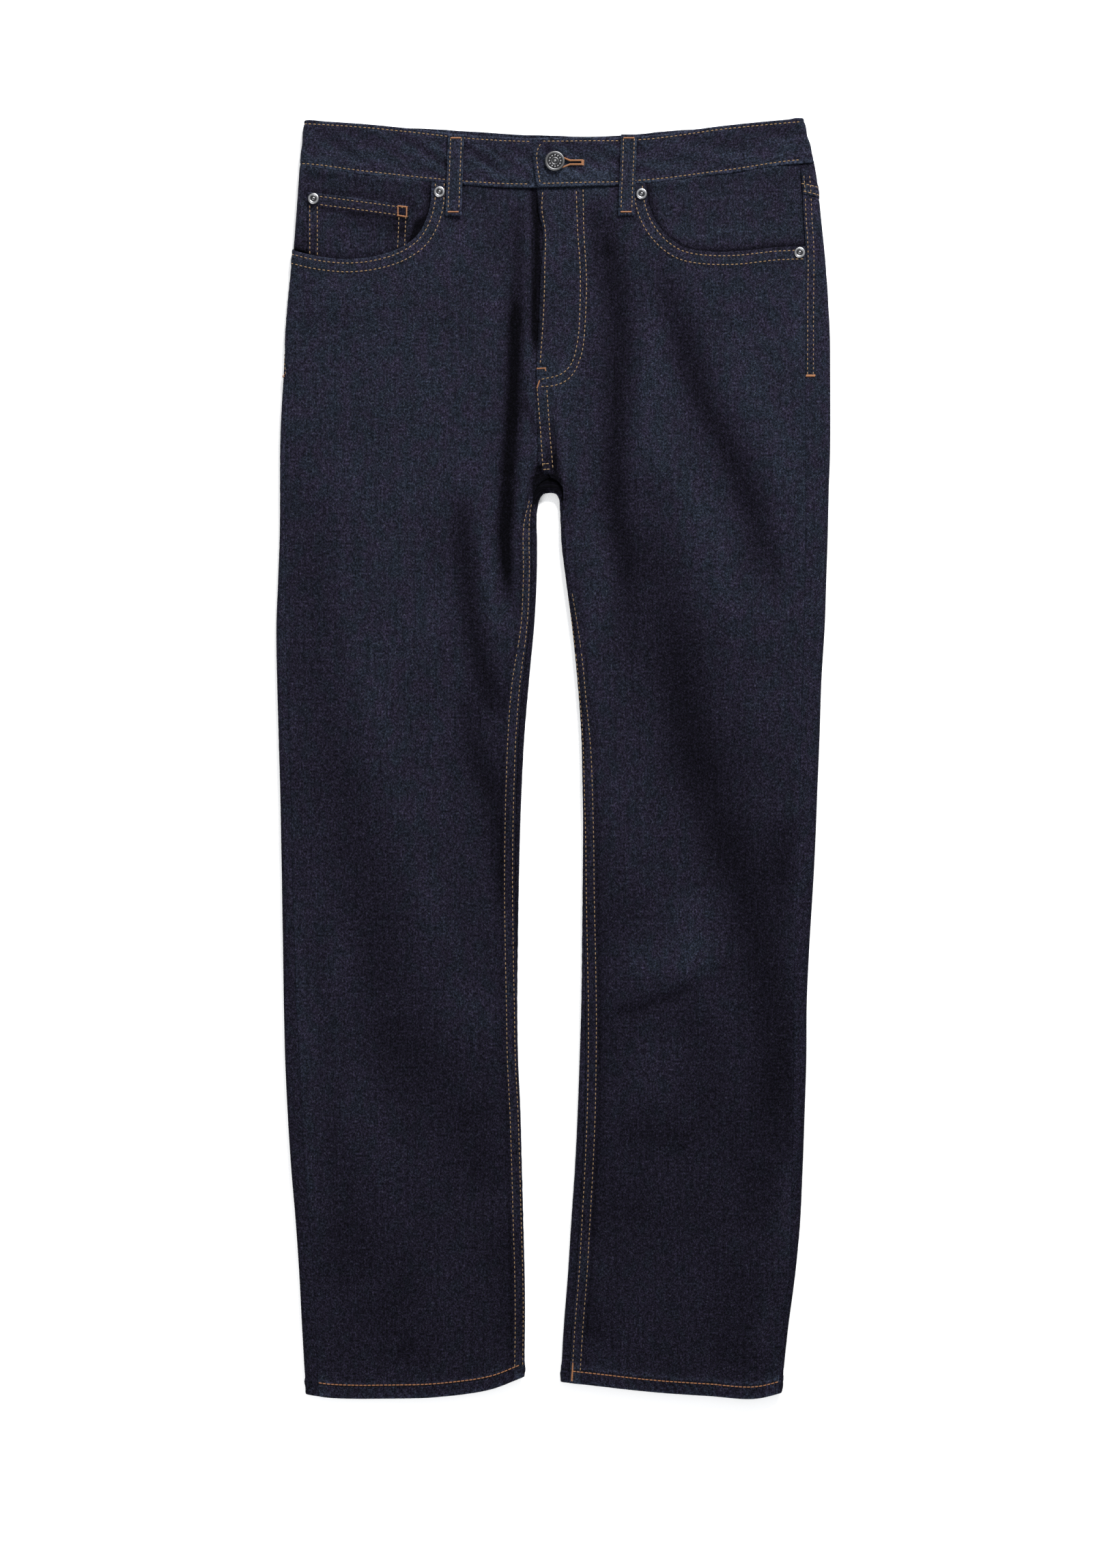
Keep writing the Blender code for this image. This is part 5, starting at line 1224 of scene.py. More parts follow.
def backRelief(leg, x, y, yoked):
    # Grooves at the seams and at their stitch rows, and the folded edge of the upper ply.
    side = sideOf[leg]
    toSide = side * (backSeamX(leg, y) - x)
    relief = -0.45 * bell(toSide, 1.2) + pucker(y, toSide, 9.5, 0.14, 8.0)
    high = rising(y, backRows["sideEndY"] - 6.0, 6.0)
    relief += high * furrows(toSide, backRows["side"], 0.9, 0.28)
    toCentre = side * (x - cloth["centreX"])
    up = y - yokeSeamY(x)
    relief += -0.4 * bell(toCentre, 1.1) + pucker(y, toCentre, 9.0, 0.16, 9.0)
    relief -= 0.4 * bell(up, 1.1)
    if leg == "left":
        relief += 0.5 * bump(toCentre, 10.0, 2.4)
        relief += furrows(toCentre, backRows["centre"], 0.9, 0.3)
    if yoked:
        relief += 0.5 * bump(up, 10.0, 2.4) + pucker(x, up, 9.0, 0.16, 9.0)
        relief += furrows(up, yokeSeam["rows"], 0.9, 0.3)
    return relief


backPaintedShade = {  # painted shade and light as on the front, for the back: the seams' edges, the crotch, the yoke, the waist and the pockets
    "seamEdge": -0.30, "rightInseam": -0.42, "crotchStrip": -1.0, "yokeSeam": -0.28, "plyOver": 0.12,
    "plyFoot": -0.22, "yokeFoot": -0.24, "waist": -0.30, "centreSeam": -0.30, "pocketEdge": -0.30,
    "pocketMouth": -0.55, "insideCrotch": -0.95,
}


def makeBack(leg):
    # A back leg up to the yoke seam, made as the fronts are but under the edge.
    side, tone = sideOf[leg], backPaintedShade
    zones = (cloth["backZone"], cloth["backZone"])
    grid = legGrid(leg, -1, cloth["backCell"], tuck, zones, cloth["backColumns"], (0, 0))
    planX, planY = grid.planX, grid.planY
    far = np.full(planX.shape, farAway)
    a, b = grid.sideArcs.shape[1], grid.innerStart
    toSide = np.concatenate([grid.sideSeam - grid.sideArcs, far[:, a:]], axis=1)
    toInner = np.concatenate([far[:, :b], grid.inseam - grid.innerArcs], axis=1)
    relief = -0.5 * bell(toSide, 1.2) - 0.5 * bell(toInner, 1.2)
    relief += pucker(planY, toSide, 10.0, 0.16, 9.0) + pucker(planY, toInner, 8.5, 0.2, 8.0)
    relief += hemRelief(planX, planY)
    wear = wearOf((toSide - 0.3, 0.2, 1.1), (toInner - 0.3, 0.1, 1.1), (planY + hemLine, 0.75, 1.5))

    corner, centre = yokeCorner(leg), cloth["centreX"] + halfGap
    lowerX = planX[-1, :b + 1]
    along = (lowerX - lowerX[0]) / (lowerX[-1] - lowerX[0])
    upperX = corner[0] + (centre - corner[0]) * along
    upper = np.c_[upperX, yokeSeamY(upperX) + tuck]
    hipY = np.linspace(crotchY, upper[0, 1], int(230 / cloth["backCell"] * 1.5))
    leftCurve = np.c_[backSeamX(leg, hipY), hipY]
    plan = hipPlan(grid, upper, leftCurve, along, lambda start, share, y: np.full(len(share), centre))
    hx, hy = plan[..., 0], plan[..., 1]
    hipWear = wearOf((side * (backSeamX(leg, hy) - hx) - 0.3, 0.4, 1.1), (hx - centre, 0.3, 1.1))

    def shades(x, y):  # painted shade as on the front; inside, the painted darkening down the leg and the crotch painted into shadow
        crotchNear = bump(x + 4.0, 14.0, 6.0) * bump(y - 213.0, 10.0, 6.0)
        inside = smoothCurve(paintedLegShade, y) + tone["insideCrotch"] * crotchNear
        fold = foldShade(x, y, backFolds)
        below, arcs = fold[:len(planX)], grid.innerArcs
        # painted shade on the strips that turn up round the edges, and the crotch strip painted dark as in
        # shadow
        below[:, :a] += tone["seamEdge"] * bell(grid.sideArcs - 1.0, 2.4)
        if leg == "right":
            below[:, b:] += tone["rightInseam"] * rising(arcs, -1.0, 3.0)
        high = rising(grid.rows["y"][:, None], 206.0, 8.0)
        below[:, b:] += tone["crotchStrip"] * rising(arcs, 1.0, 3.0) * high
        # painted shadow under the yoke seam and beside the centre seam, painted light on the folded ply
        fold += tone["yokeSeam"] * bell(y - yokeSeamY(x), 2.6)
        toCentre = x - cloth["centreX"]
        centreTone = tone["centreSeam"] * bell(toCentre, 3.0)
        if leg == "left":
            centreTone = tone["plyOver"] * bump(toCentre, 10.0, 2.4)
            centreTone += tone["plyFoot"] * bell(toCentre - 11.4, 2.4)
        fold += np.where(y > crotchY, centreTone, 0.0)
        # painted shadow round each pocket and under its opening
        fold += tone["pocketEdge"] * bell(awayFrom(x, y, pocketOutline(leg, -1.0)), 3.0)
        across = bump(x - backPocket["centres"][leg], backPocket["topHalf"], 4.0)
        opening = y - backPocket["topY"]
        return fold + np.where(opening > 0, tone["pocketMouth"] * bell(opening, 6.0) * across, 0.0), inside

    hipHeight = backRelief(leg, hx, hy, False)
    return makePanel("back_" + leg, leg, -1, grid, plan, relief, hipHeight, wear, hipWear, shades)


def patchPlan(lower, upper, left, along, up):
    # A plan between a lower, an upper and a left curve, its right side straight.
    lower[0], upper[0] = left[0], left[-1]
    right = lower[-1] + up[:, None] * (upper[-1] - lower[-1])
    return coons(lower, upper, left, right, along, up)


def makeYoke(leg):
    # The yoke between its seam and the waistband, its columns closer round the side.
    side, corner, centre = sideOf[leg], yokeCorner(leg), cloth["centreX"] + halfGap
    start = float(edgeX(leg, yokeSeam["sideY"])) - side * 14.2
    lowerX = np.concatenate([np.linspace(corner[0], start, 18)[:-1], np.linspace(start, centre, 92)])
    along = (lowerX - lowerX[0]) / (lowerX[-1] - lowerX[0])
    lower = np.c_[lowerX, yokeSeamY(lowerX) + halfGap]
    topX = float(backSeamX(leg, float(smoothCurve(backWaistSeam, corner[0])) + 0.5))
    upperX = topX + (centre - topX) * along
    upper = np.c_[upperX, smoothCurve(backWaistSeam, upperX) + 0.5]
    share = np.linspace(0, 1, 36) ** 1.25
    sideY = lower[0, 1] + share * (upper[0, 1] - lower[0, 1])
    plan = patchPlan(lower, upper, np.c_[backSeamX(leg, sideY), sideY], along, share)
    x, y = plan[..., 0], plan[..., 1]
    up = y - yokeSeamY(x)
    relief = backRelief(leg, x, y, True)
    wear = wearOf((up - 0.3, 0.6, 1.1), (side * (x - centre), 0.3, 1.1))
    outer = hipPoint(-1, leg, x, y, -relief)
    inner = hipPoint(-1, leg, x, y, cloth["wall"] - 0.35 * relief)
    tone = backPaintedShade
    # painted light on the folded ply, painted shade at its foot and under the band
    fold = tone["plyOver"] * bump(up, 10.0, 2.4) + tone["yokeFoot"] * bell(up - 11.6, 2.4)
    fold += tone["waist"] * bell(smoothCurve(backWaistSeam, x) - y, 3.4)
    return addWall("denim_yoke_" + leg, "yoke_" + leg, "denim", outer, inner, plan, wear, fold)


backs = {leg: makeBack(leg) for leg in sideOf}
yokes = {leg: makeYoke(leg) for leg in sideOf}
print("backs and yokes made")


facingEdges = {
    "right": ((-226.0, 427.6), (-221.0, 425.8), (-216.0, 424.2), (-211.0, 422.7), (-206.5, 421.3),
              (-203.5, 414.0), (-192.0, 404.0), (-174.0, 401.0), (-145.0, 403.0), (-120.4, 412.0),
              (-114.0, 419.0), (-100.0, 436.0), (-88.0, 463.0)),
    "left": ((210.0, 414.0), (203.0, 412.0), (182.0, 408.0), (150.0, 405.0), (118.0, 407.0),
             (94.0, 416.0), (76.0, 436.0), (64.0, 462.0)),
}
# lines on the flat facing and coin pocket where a fold or a ridge is painted as shade or light
facingFold = ((-205, 472), (-178, 472), (-150, 470), (-122, 466), (-114, 457))
facingRidge = ((96, 440), (124, 438), (152, 441), (182, 439), (204, 442))
coinFold = ((-168, 451), (-150, 447), (-118, 438))
# painted shade and light on the facings and the coin pocket: the shadows of the mouths and the hem, the
# hollows beside the coin pocket and the painted folds
facingPaintedShade = {
    "all": -0.05, "mouth": -0.75, "waist": 0.24, "ridge": 0.26, "fold": -0.46,
    "rightCorner": -0.9, "rightSide": -0.30, "reach": {"right": 5.5, "left": 4.2},
}
coinPaintedShade = {"all": -0.10, "hemFoot": -0.45, "mouth": -0.40, "right": -0.40, "left": -0.34, "fold": -0.36}
coin = {
    "left": -205.2, "right": -121.0, "topLeft": 472.3, "topRight": 461.2, "bottom": 408.0, "wall": 1.2,
    "topRows": (2.6, 9.4), "leftRows": (1.9, 8.2), "rightRows": (2.2, 7.9),
}


def facingDepth(leg, x):
    # Level under the left front; the right one dips under the coin pocket and comes back up.
    if leg == "left":
        return np.full(np.shape(x), 1.9)
    return 0.1 + 3.0 * rising(x, -210.6, 5.0) - 1.2 * rising(x, -120.6, 6.0)


def makeFacing(leg):
    # What shows inside a front pocket's mouth: a patch under the front, as deep as facingDepth says.
    side = sideOf[leg]
    points = np.array(facingEdges[leg], float)
    lowerX = np.linspace(points[0, 0], points[-1, 0], 90)
    way = np.sign(points[-1, 0] - points[0, 0])
    lower = np.c_[lowerX, np.interp(lowerX * way, points[:, 0] * way, points[:, 1])]
    sideY = np.linspace(lower[0, 1], float(smoothCurve(waistSeam, lowerX[0])) + 0.4, 44)
    left = np.c_[seamX(leg, sideY) - side * halfGap, sideY]
    along = (lowerX - lowerX[0]) / (lowerX[-1] - lowerX[0])
    upperX = left[-1, 0] + (lowerX[-1] - left[-1, 0]) * along
    upper = np.c_[upperX, smoothCurve(waistSeam, upperX) + 0.4]
    plan = patchPlan(lower, upper, left, along, (sideY - sideY[0]) / (sideY[-1] - sideY[0]))
    x, y = plan[..., 0], plan[..., 1]
    waistNear = smoothCurve(waistSeam, x) - y
    depth = facingDepth(leg, x) * (0.12 + 0.88 * ease(waistNear / 11.0))
    layers = [hipPoint(1, leg, x, y, depth + more) for more in (0.0, cloth["wall"])]
    tone = facingPaintedShade
    # painted shadow of the mouth's edge and of the hollow beside the coin pocket, painted light along the
    # waist and on a ridge
    fold = tone["all"] + tone["mouth"] * bell(mouthAway(leg, x, y), tone["reach"][leg])
    fold += tone["waist"] * bell(np.maximum(waistNear, 0.0), 4.0)
    if leg == "right":
        fold += tone["rightCorner"] * bell(x + 113.0, 6.0) * falling(y, 446.0, 8.0)
        fold += tone["fold"] * bell(awayFrom(x, y, facingFold), 4.0)
        fold += tone["rightSide"] * bump(x + 207.0, 8.0, 6.0) * falling(y, 442.0, 10.0)
    else:
        fold += tone["ridge"] * bell(awayFrom(x, y, facingRidge), 5.0)
    name, node = "pocket_mouth_facing_" + leg, "pocket_facing_" + leg
    return addWall(name, node, "denim", *layers, plan, 0.0 * x, fold)


def coinTop(u):
    # The height of the slanted top edge at a share of its width.
    return coin["topLeft"] + (coin["topRight"] - coin["topLeft"]) * u


def makeCoinPocket():
    # A slanted patch; its hem is a step down at the top, and its rows are grooves.
    u, v = np.linspace(0, 1, 76)[None, :], np.linspace(0, 1, 60)[:, None]
    x = coin["left"] + (coin["right"] - 2.5 * (1 - v) - coin["left"]) * u
    y = coin["bottom"] + (coinTop(u) - coin["bottom"]) * v
    below, left, right = coinTop(u) - y, x - coin["left"], coin["right"] - 2.5 * (1 - v) - x
    relief = 0.45 * bump(below, 10.2, 1.6) - turnedEdge(below) - turnedEdge(left) - turnedEdge(right)
    relief += furrows(below, coin["topRows"], 0.9, 0.3)
    relief += furrows(left, coin["leftRows"], 0.9, 0.26) + furrows(right, coin["rightRows"], 0.9, 0.26)
    relief += pucker(x, below - 5.0, 7.0, 0.18, 8.0) + pucker(y, left, 9.0, 0.1, 8.0)
    seat = topZ(x, y) - facingDepth("right", x) + cloth["gap"]
    outer, inner = placed(x, y, seat + coin["wall"] + relief), placed(x, y, seat)
    wear = wearOf((below - 0.3, 0.6, 1.2), (left, 0.35, 1.0), (right, 0.35, 1.0))
    tone = coinPaintedShade
    # painted shadow under the hem, beside the mouth and in the hollows at the sides, and a painted fold
    fold = tone["all"] + tone["hemFoot"] * bell(below - 12.2, 2.2)
    fold += tone["mouth"] * bell(mouthAway("right", x, y), 5.0)
    fold += tone["right"] * bell(right - 4.0, 9.0) * rising(y, 428.0, 14.0)
    fold += tone["left"] * bell(left, 9.0) * falling(y, 436.0, 12.0)
    fold += tone["fold"] * bell(awayFrom(x, y, coinFold), 5.0)
    uv = np.stack([x, y], axis=-1)
    return addWall("coin_pocket_patch", "coin_pocket", "denim", outer, inner, uv, wear, fold)


zipTape = {"x": (-0.7, 26.0), "y": (322.0, 470.0), "wall": 1.0, "sunk": 0.05}


def makeZip():
    # The closed zip's tape, level between the fronts.
    x, y = np.meshgrid(np.linspace(*zipTape["x"], 20), np.linspace(*zipTape["y"], 60))
    high = topZ(x, y) - zipTape["sunk"]
    outer, inner = placed(x, y, high), placed(x, y, high - zipTape["wall"])
    return addWall("zip_tape_closed", "fly_zip", "zip_tape", outer, inner, np.stack([x, y], axis=-1), 0 * x)


def addFlat(name, node, slot, x, y, relief, wall, wear):
    # A piece that lies on the floor, its outer face down.
    outer = np.stack([x, y, -np.minimum(relief, 0.0)], axis=-1)
    inner = np.stack([x, y, np.full(x.shape, wall)], axis=-1)
    return addWall(name, node, slot, outer, inner, np.stack([x, y], axis=-1), wear)


def makeBackPocket(leg):
    # A five sided patch: its half width grows with height and its lower edge is a shallow V.
    shape = backPocket
    u, v = np.meshgrid(np.linspace(-1, 1, 91), np.linspace(0, 1, 84))
    low = shape["tipY"] + (shape["cornerY"] - shape["tipY"]) * np.abs(u)
    y = low + (shape["topY"] - low) * v
    share = np.clip((y - shape["cornerY"]) / (shape["topY"] - shape["cornerY"]), 0, 1)
    half = shape["lowHalf"] + (shape["topHalf"] - shape["lowHalf"]) * share
    x = shape["centres"][leg] + u * half
    edge, below = np.minimum(half * (1 - np.abs(u)), (y - low) * 0.95), shape["topY"] - y
    relief = -turnedEdge(np.minimum(edge, below)) + pucker(x + y, edge - 5, 8.0, 0.10, 8.0)
    relief += furrows(edge, shape["rows"], 1.0, 0.3) + furrow(below - shape["hemRow"], 1.0, 0.3)
    wear = wearOf((edge - 0.3, 0.7, 1.2), (below, 0.8, 1.3), (below - 16.5, 0.25, 0.8))
    name, node = "back_pocket_patch_" + leg, "back_pocket_" + leg
    return addFlat(name, node, "denim", x, y, relief, shape["wall"], wear)


facings = {leg: makeFacing(leg) for leg in sideOf}
coinPocket = makeCoinPocket()
zipPiece = makeZip()
backPockets = {leg: makeBackPocket(leg) for leg in sideOf}
print("pockets made")


band = {
    "top": 7.6, "wall": 2.4, "radius": 3.8, "over": 2.7, "innerEndX": 27.2,
    "topRow": 3.0, "lowRow": 3.0, "endRow": 3.2, "ripple": 0.42,
    "steps": {"over": 10.8, "left": 8.8, "back": 11.2, "right": 13.2},  # run between two parts of the strip
}
loopHalf = 6.75
bandUps = np.concatenate([  # rows, close at both edges, as shares of the band's depth
    np.linspace(0, 5.6, 9), np.linspace(5.6, 33.4, 15)[1:], np.linspace(33.4, 39.0, 9)[1:],
]) / 39.0


def overRise(x):
    # The outer end rides over the inner one, then comes down beside it over 24.
    return band["over"] * falling(x, band["innerEndX"] + 2.0, 24.0)


def bandRipple(along, up, high):
    # Two slanted waves of uneven pitch, strongest at the middle of the band.
    slant = along + 1.6 * up
    ripple = np.sin(fullTurn * slant / 23.0 + 1.4 * np.sin(along / 33.0))
    ripple *= 0.5 + 0.5 * np.sin(along / 41.0 + 1.0)
    ripple += 0.6 * np.sin(fullTurn * (along + 2.4 * up) / 47.0 + 2.0 * np.sin(along / 57.0))
    return ripple * np.sin(np.clip(up / high, 0, 1) * math.pi) ** 0.7


def bandRelief(along, up, high):
    # Rolled edges, a groove at each stitch row, scalloped puckers at the seam and slanted ripples.
    fromTop = high - up
    relief = -turnedEdge(up, 1.0) - turnedEdge(fromTop, 1.0)
    relief += furrow(up - band["lowRow"], 0.9, 0.34) + furrow(fromTop - band["topRow"], 0.9, 0.34)
    relief += pucker(along, up, 8.0, 0.24, 5.0) + pucker(along + 3, fromTop, 9.0, 0.18, 5.0)
    return relief + band["ripple"] * bandRipple(along, up, high)


bandPaintedShade = {
    "ripple": 0.32, "seam": -0.10, "slope": 0.20, "sidesTop": -0.18, "sidesLow": 0.20,
    "underButton": 0.50, "besideLoop": -0.26,
}


def paintBandShade(x, along, up, high, kind):
    # The ripples' painted light and shade, painted shadow beside each loop and along the seam, darker towards
    # the top, and painted light at the front's lower corners and under the button.
    tone = bandPaintedShade
    shade = tone["ripple"] * bandRipple(along, up, high) + tone["seam"] * bell(up - 5.5, 2.0)
    shade += tone["slope"] * (0.5 - up / high)
    if kind in ("over", "under"):
        shade += tone["sidesTop"] * rising(np.abs(x), 135.0, 30.0) * bump(up - 31.0, 5.0, 5.0)
        shade += tone["sidesLow"] * rising(np.abs(x), 176.0, 16.0) * falling(up, 14.0, 8.0)
        shade += tone["underButton"] * bump(x - 14.0, 26.0, 12.0) * falling(up, 10.0, 10.0)
        for topX, lowX in frontLoopPlaces.values():
            middle = lowX + (topX - lowX) * up / high
            shade += tone["besideLoop"] * bump(x - middle, loopHalf + 0.5, 4.0)
    return np.clip(shade, -1, 1)


def bandPart(kind, x, along):
    # One part of the strip: its plan, the length along the strip and the relief.
    seam, topEdge = (backWaistSeam, bandBackTop) if kind == "back" else (waistSeam, bandTop)
    at = float(edgeX(kind, 512.0)) + 0.0 * x if kind in sideOf else x
    low, top = smoothCurve(seam, at) + halfGap, smoothCurve(topEdge, at)
    y = low[None, :] + (top - low)[None, :] * bandUps[:, None]
    up, high = y - y[:1], y[-1:] - y[:1]
    x = x[None, :] * np.ones_like(y)
    if kind == "over":  # its end follows the slanted edge
        x[:, 0] = smoothCurve(bandEndEdge, y[:, 1])
        x[:, 1:12] = x[:, :1] + (x[:, 12:13] - x[:, :1]) * (np.arange(1, 12) / 12.0)
    fromEnd = x - x[:, :1]
    run = along + np.abs(fromEnd)
    relief = bandRelief(run, up, high)
    ends = farAway + up
    if kind == "over":
        relief += -turnedEdge(fromEnd, 1.0) + furrow(fromEnd - band["endRow"], 0.9, 0.3) * (up > 2.5)
        ends = fromEnd
    wear = wearOf((up - 0.5, 1.0, 1.8), (high - up - 0.4, 1.0, 1.6), (ends, 0.9, 1.5))
    return SimpleNamespace(
        kind=kind, x=x, y=y, relief=relief, wear=wear, uv=np.stack([up, run], axis=-1),
        fold=paintBandShade(x, run, up, high, kind), end=float(run[0, -1]) + band["steps"].get(kind, 0.0),
    )


def bandPoints(part, depth, share):
    # On the front the band is level, at the sides it turns round the edge by arc length, and at the
    # back it lies on the floor.
    kind, x, y, reach = part.kind, part.x, part.y, depth - share * part.relief
    if kind in sideOf:
        way, level = -sideOf[kind] * np.ones_like(y), np.full(y.shape, band["top"])
        return edgePoint(edgeX(kind, y), y, way, 0 * way, x, reach, band["radius"], level)
    if kind == "back":
        return np.stack([x, y, backZ(x, y) + np.maximum(reach, depth - 0.1)], axis=-1)
    rise = overRise(x) if kind == "over" else 0.0
    return np.stack([x, y, band["top"] + rise - reach], axis=-1)


def makeBand():
    # One strip: over the button side, round the left side, across the back, round the right, and
    # on to the inner end.
    overX = np.concatenate([[0.0], np.linspace(-13.0, 60.0, 58), np.linspace(62.6, 196, 54)])
    underX = np.concatenate([np.linspace(-190, 12, 80), np.linspace(14.5, band["innerEndX"], 7)])
    arcs, backX = np.linspace(9.0, -9.0, 19), np.linspace(198, -192, 130)
    parts, along = [], 0.0
    for kind, x in (("over", overX), ("left", arcs), ("back", backX), ("right", -arcs), ("under", underX)):
        parts.append(bandPart(kind, x, along))
        along = parts[-1].end
    layers = [
        np.concatenate([bandPoints(part, depth, share) for part in parts], axis=1)
        for depth, share in ((0.0, 1.0), (band["wall"], 0.3))
    ]
    uv, wear, fold = (
        np.concatenate([getattr(part, what) for part in parts], axis=1) for what in ("uv", "wear", "fold")
    )
    return addWall("waistband_strip", "waistband", "denim_band", *layers, uv, wear, fold)


waistband = makeBand()

buttonhole = {
    "start": 1.2, "end": 7.4, "taper": 13.6, "y": 496.0, "radius": 3.2, "slotEnd": 22.6, "slotHalf": 0.7,
}


def keyholeOutline(grow=0.0):
    # A half circle, two sides that run in to a narrow slot, and the slot's end.
    shape = buttonhole
    r, half, end = shape["radius"] + grow, shape["slotHalf"] + grow, shape["slotEnd"] + grow
    turns = np.linspace(math.pi / 2, 1.5 * math.pi, 18)
    eye = np.stack([shape["start"] + r * np.cos(turns), r * np.sin(turns)], axis=1)
    slot = np.array([[shape["end"], -r], [shape["taper"], -half], [end, -half], [end, half],
                     [shape["taper"], half], [shape["end"], r]])
    return np.concatenate([eye, slot]) + np.array([0.0, shape["y"]])


def cutButtonhole():
    # Cut right through the outer end by a block of the keyhole's outline.
    outline = keyholeOutline()
    count = len(outline)
    low, high = band["top"] + 0.9, band["top"] + 7.0
    points = np.concatenate([np.c_[outline, np.full(count, low)], np.c_[outline, np.full(count, high)]]) * mm
    ring = np.arange(count)
    sides = [[i, (i + 1) % count, (i + 1) % count + count, i + count] for i in ring.tolist()]
    mesh = bpy.data.meshes.new("buttonhole_cutter")
    mesh.from_pydata(points.tolist(), [], [ring[::-1].tolist(), (ring + count).tolist()] + sides)
    cutter = linked("buttonhole_cutter", mesh)
    cut = waistband.modifiers.new("buttonhole", "BOOLEAN")
    cut.operation, cut.solver, cut.object = "DIFFERENCE", "EXACT", cutter
    graph = bpy.context.evaluated_depsgraph_get()
    done = bpy.data.meshes.new_from_object(waistband.evaluated_get(graph))
    waistband.modifiers.clear()
    waistband.data = done
    bpy.data.objects.remove(cutter, do_unlink=True)


cutButtonhole()
print("waistband made")


def treeOf(*objects):
    # The triangles of all the objects as one tree to drop stitches on.
    points, faces, base = [], [], 0
    for obj in objects:
        mesh = obj.data
        flat = np.empty(len(mesh.vertices) * 3, np.float32)
        mesh.vertices.foreach_get("co", flat)
        mesh.calc_loop_triangles()
        corner = np.empty(len(mesh.loop_triangles) * 3, np.int32)
        mesh.loop_triangles.foreach_get("vertices", corner)
        points.append(flat.reshape(-1, 3))
        faces.append(corner.reshape(-1, 3) + base)
        base += len(mesh.vertices)
    return BVHTree.FromPolygons(np.concatenate(points).tolist(), np.concatenate(faces).tolist())


def drop(path, tree, below=False):
    # Casts each (x, y) of the path straight on to the cloth; keeps where it lands and the normal.
    start, way = (-0.02, Vector((0, 0, 1))) if below else (0.06, Vector((0, 0, -1)))
    hits = [tree.ray_cast(Vector((x * mm, y * mm, start)), way) for x, y in np.asarray(path, float)[:, :2]]
    hits = [hit for hit in hits if hit[0] is not None]
    places = np.array([hit[0] for hit in hits]).reshape(-1, 3) / mm
    normals = np.array([hit[1] for hit in hits]).reshape(-1, 3)
    facing = -1.0 if below else 1.0
    normals = normals * np.sign(normals[:, 2:] * facing + 1e-9)
    return places, normals


trees = {
    "front_right": treeOf(fronts["right"]), "front_left": treeOf(fronts["left"]),
    "back": treeOf(backs["right"], backs["left"]),
    "band": treeOf(waistband), "coin": treeOf(coinPocket),
    "pockets": treeOf(backPockets["right"], backPockets["left"]),
}


loop = {
    "width": 13.5, "wall": 2.0, "topY": 519.6, "bottomY": 452.0, "rows": (2.3, 11.2),
    "in": 3.4,  # from each end to the first stitch
    "tackIn": 3.1, "tack": (8.6, 1.25),
}
backLoops = {"right": -100.0, "left": 96.0, "centre": cloth["centreX"]}


loopLength = loop["topY"] - loop["bottomY"]


def loopStrip(topX, bottomX, top, topWear):
    # A strip's plan with its relief and its rubbed edges.
    y = np.linspace(top, top - loopLength, 64)[:, None]
    away = np.linspace(-0.5, 0.5, 19) * loop["width"] + 0 * y
    x = bottomX + (topX - bottomX) * (y - y[-1]) / loopLength + away
    y = y + 0 * x
    inFrom, fromTop, fromBottom = loop["width"] / 2 - np.abs(away), top - y, y - y[-1]
    relief = -turnedEdge(inFrom, 0.8) - turnedEdge(fromTop, 1.2) - turnedEdge(fromBottom, 1.2)
    relief += furrows(away + loop["width"] / 2, loop["rows"], 0.9, 0.32)
    relief += pucker(fromTop, np.abs(away) - 4.5, 6.0, 0.12, 3.0)
    relief -= 0.35 * bump(fromTop - 3.0, 0.6, 1.5) + 0.35 * bump(fromBottom - 3.0, 0.6, 1.5)
    return x, y, relief, wearOf((inFrom, 0.9, 1.1), (fromTop, topWear, 1.0), (fromBottom, 0.8, 1.0))


def makeFrontLoop(leg):
    # A strip over the highest cloth under each of its rows, smoothed along its length.
    x, y, relief, wear = loopStrip(*frontLoopPlaces[leg], loop["topY"], 0.6)
    tree, down = treeOf(waistband, fronts[leg]), Vector((0, 0, -1))
    spots = zip(x[:, ::3].ravel() * mm, y[:, ::3].ravel() * mm)
    hits = [tree.ray_cast(Vector((a, b, 0.06)), down)[0] for a, b in spots]
    seat = np.array([hit[2] / mm if hit else 7.0 for hit in hits]).reshape(len(y), -1).max(axis=1)
    padded = np.pad(seat, 4, mode="edge")
    seat = np.maximum.reduce([padded[i:i + len(y)] for i in range(9)])
    seat = np.convolve(np.pad(seat, 4, mode="edge"), np.full(9, 1 / 9), mode="valid")
    seat = seat[:, None] + 0 * x + 0.15
    outer, inner = np.stack([x, y, seat + loop["wall"] + relief], axis=-1), np.stack([x, y, seat], axis=-1)
    name, node = "front_loop_" + leg, "belt_loop_front_" + leg
    # the loop is painted a little lighter all over
    return addWall(name, node, "denim_band", outer, inner, np.stack([x, y], axis=-1), wear, 0.0 * x + 0.20)


def backLoopTop(centre):
    # A back loop starts just under the band's top edge.
    return float(smoothCurve(bandBackTop, centre)) - 1.5


def makeBackLoop(leg):
    # A flat strip on the floor under the back.
    centre = backLoops[leg]
    x, y, relief, wear = loopStrip(centre, centre, backLoopTop(centre), 0.0)
    node = "belt_loop_centre_back" if leg == "centre" else "belt_loop_back_" + leg
    return addFlat("back_loop_" + leg, node, "denim_band", x, y, relief, loop["wall"], wear)


loops = {"front_" + leg: makeFrontLoop(leg) for leg in sideOf}
loops.update({"back_" + leg: makeBackLoop(leg) for leg in backLoops})
trees.update({"loop_" + leg: treeOf(loops["front_" + leg]) for leg in sideOf})
trees["back_loops"] = treeOf(*[loops["back_" + leg] for leg in backLoops])
print("belt loops made")


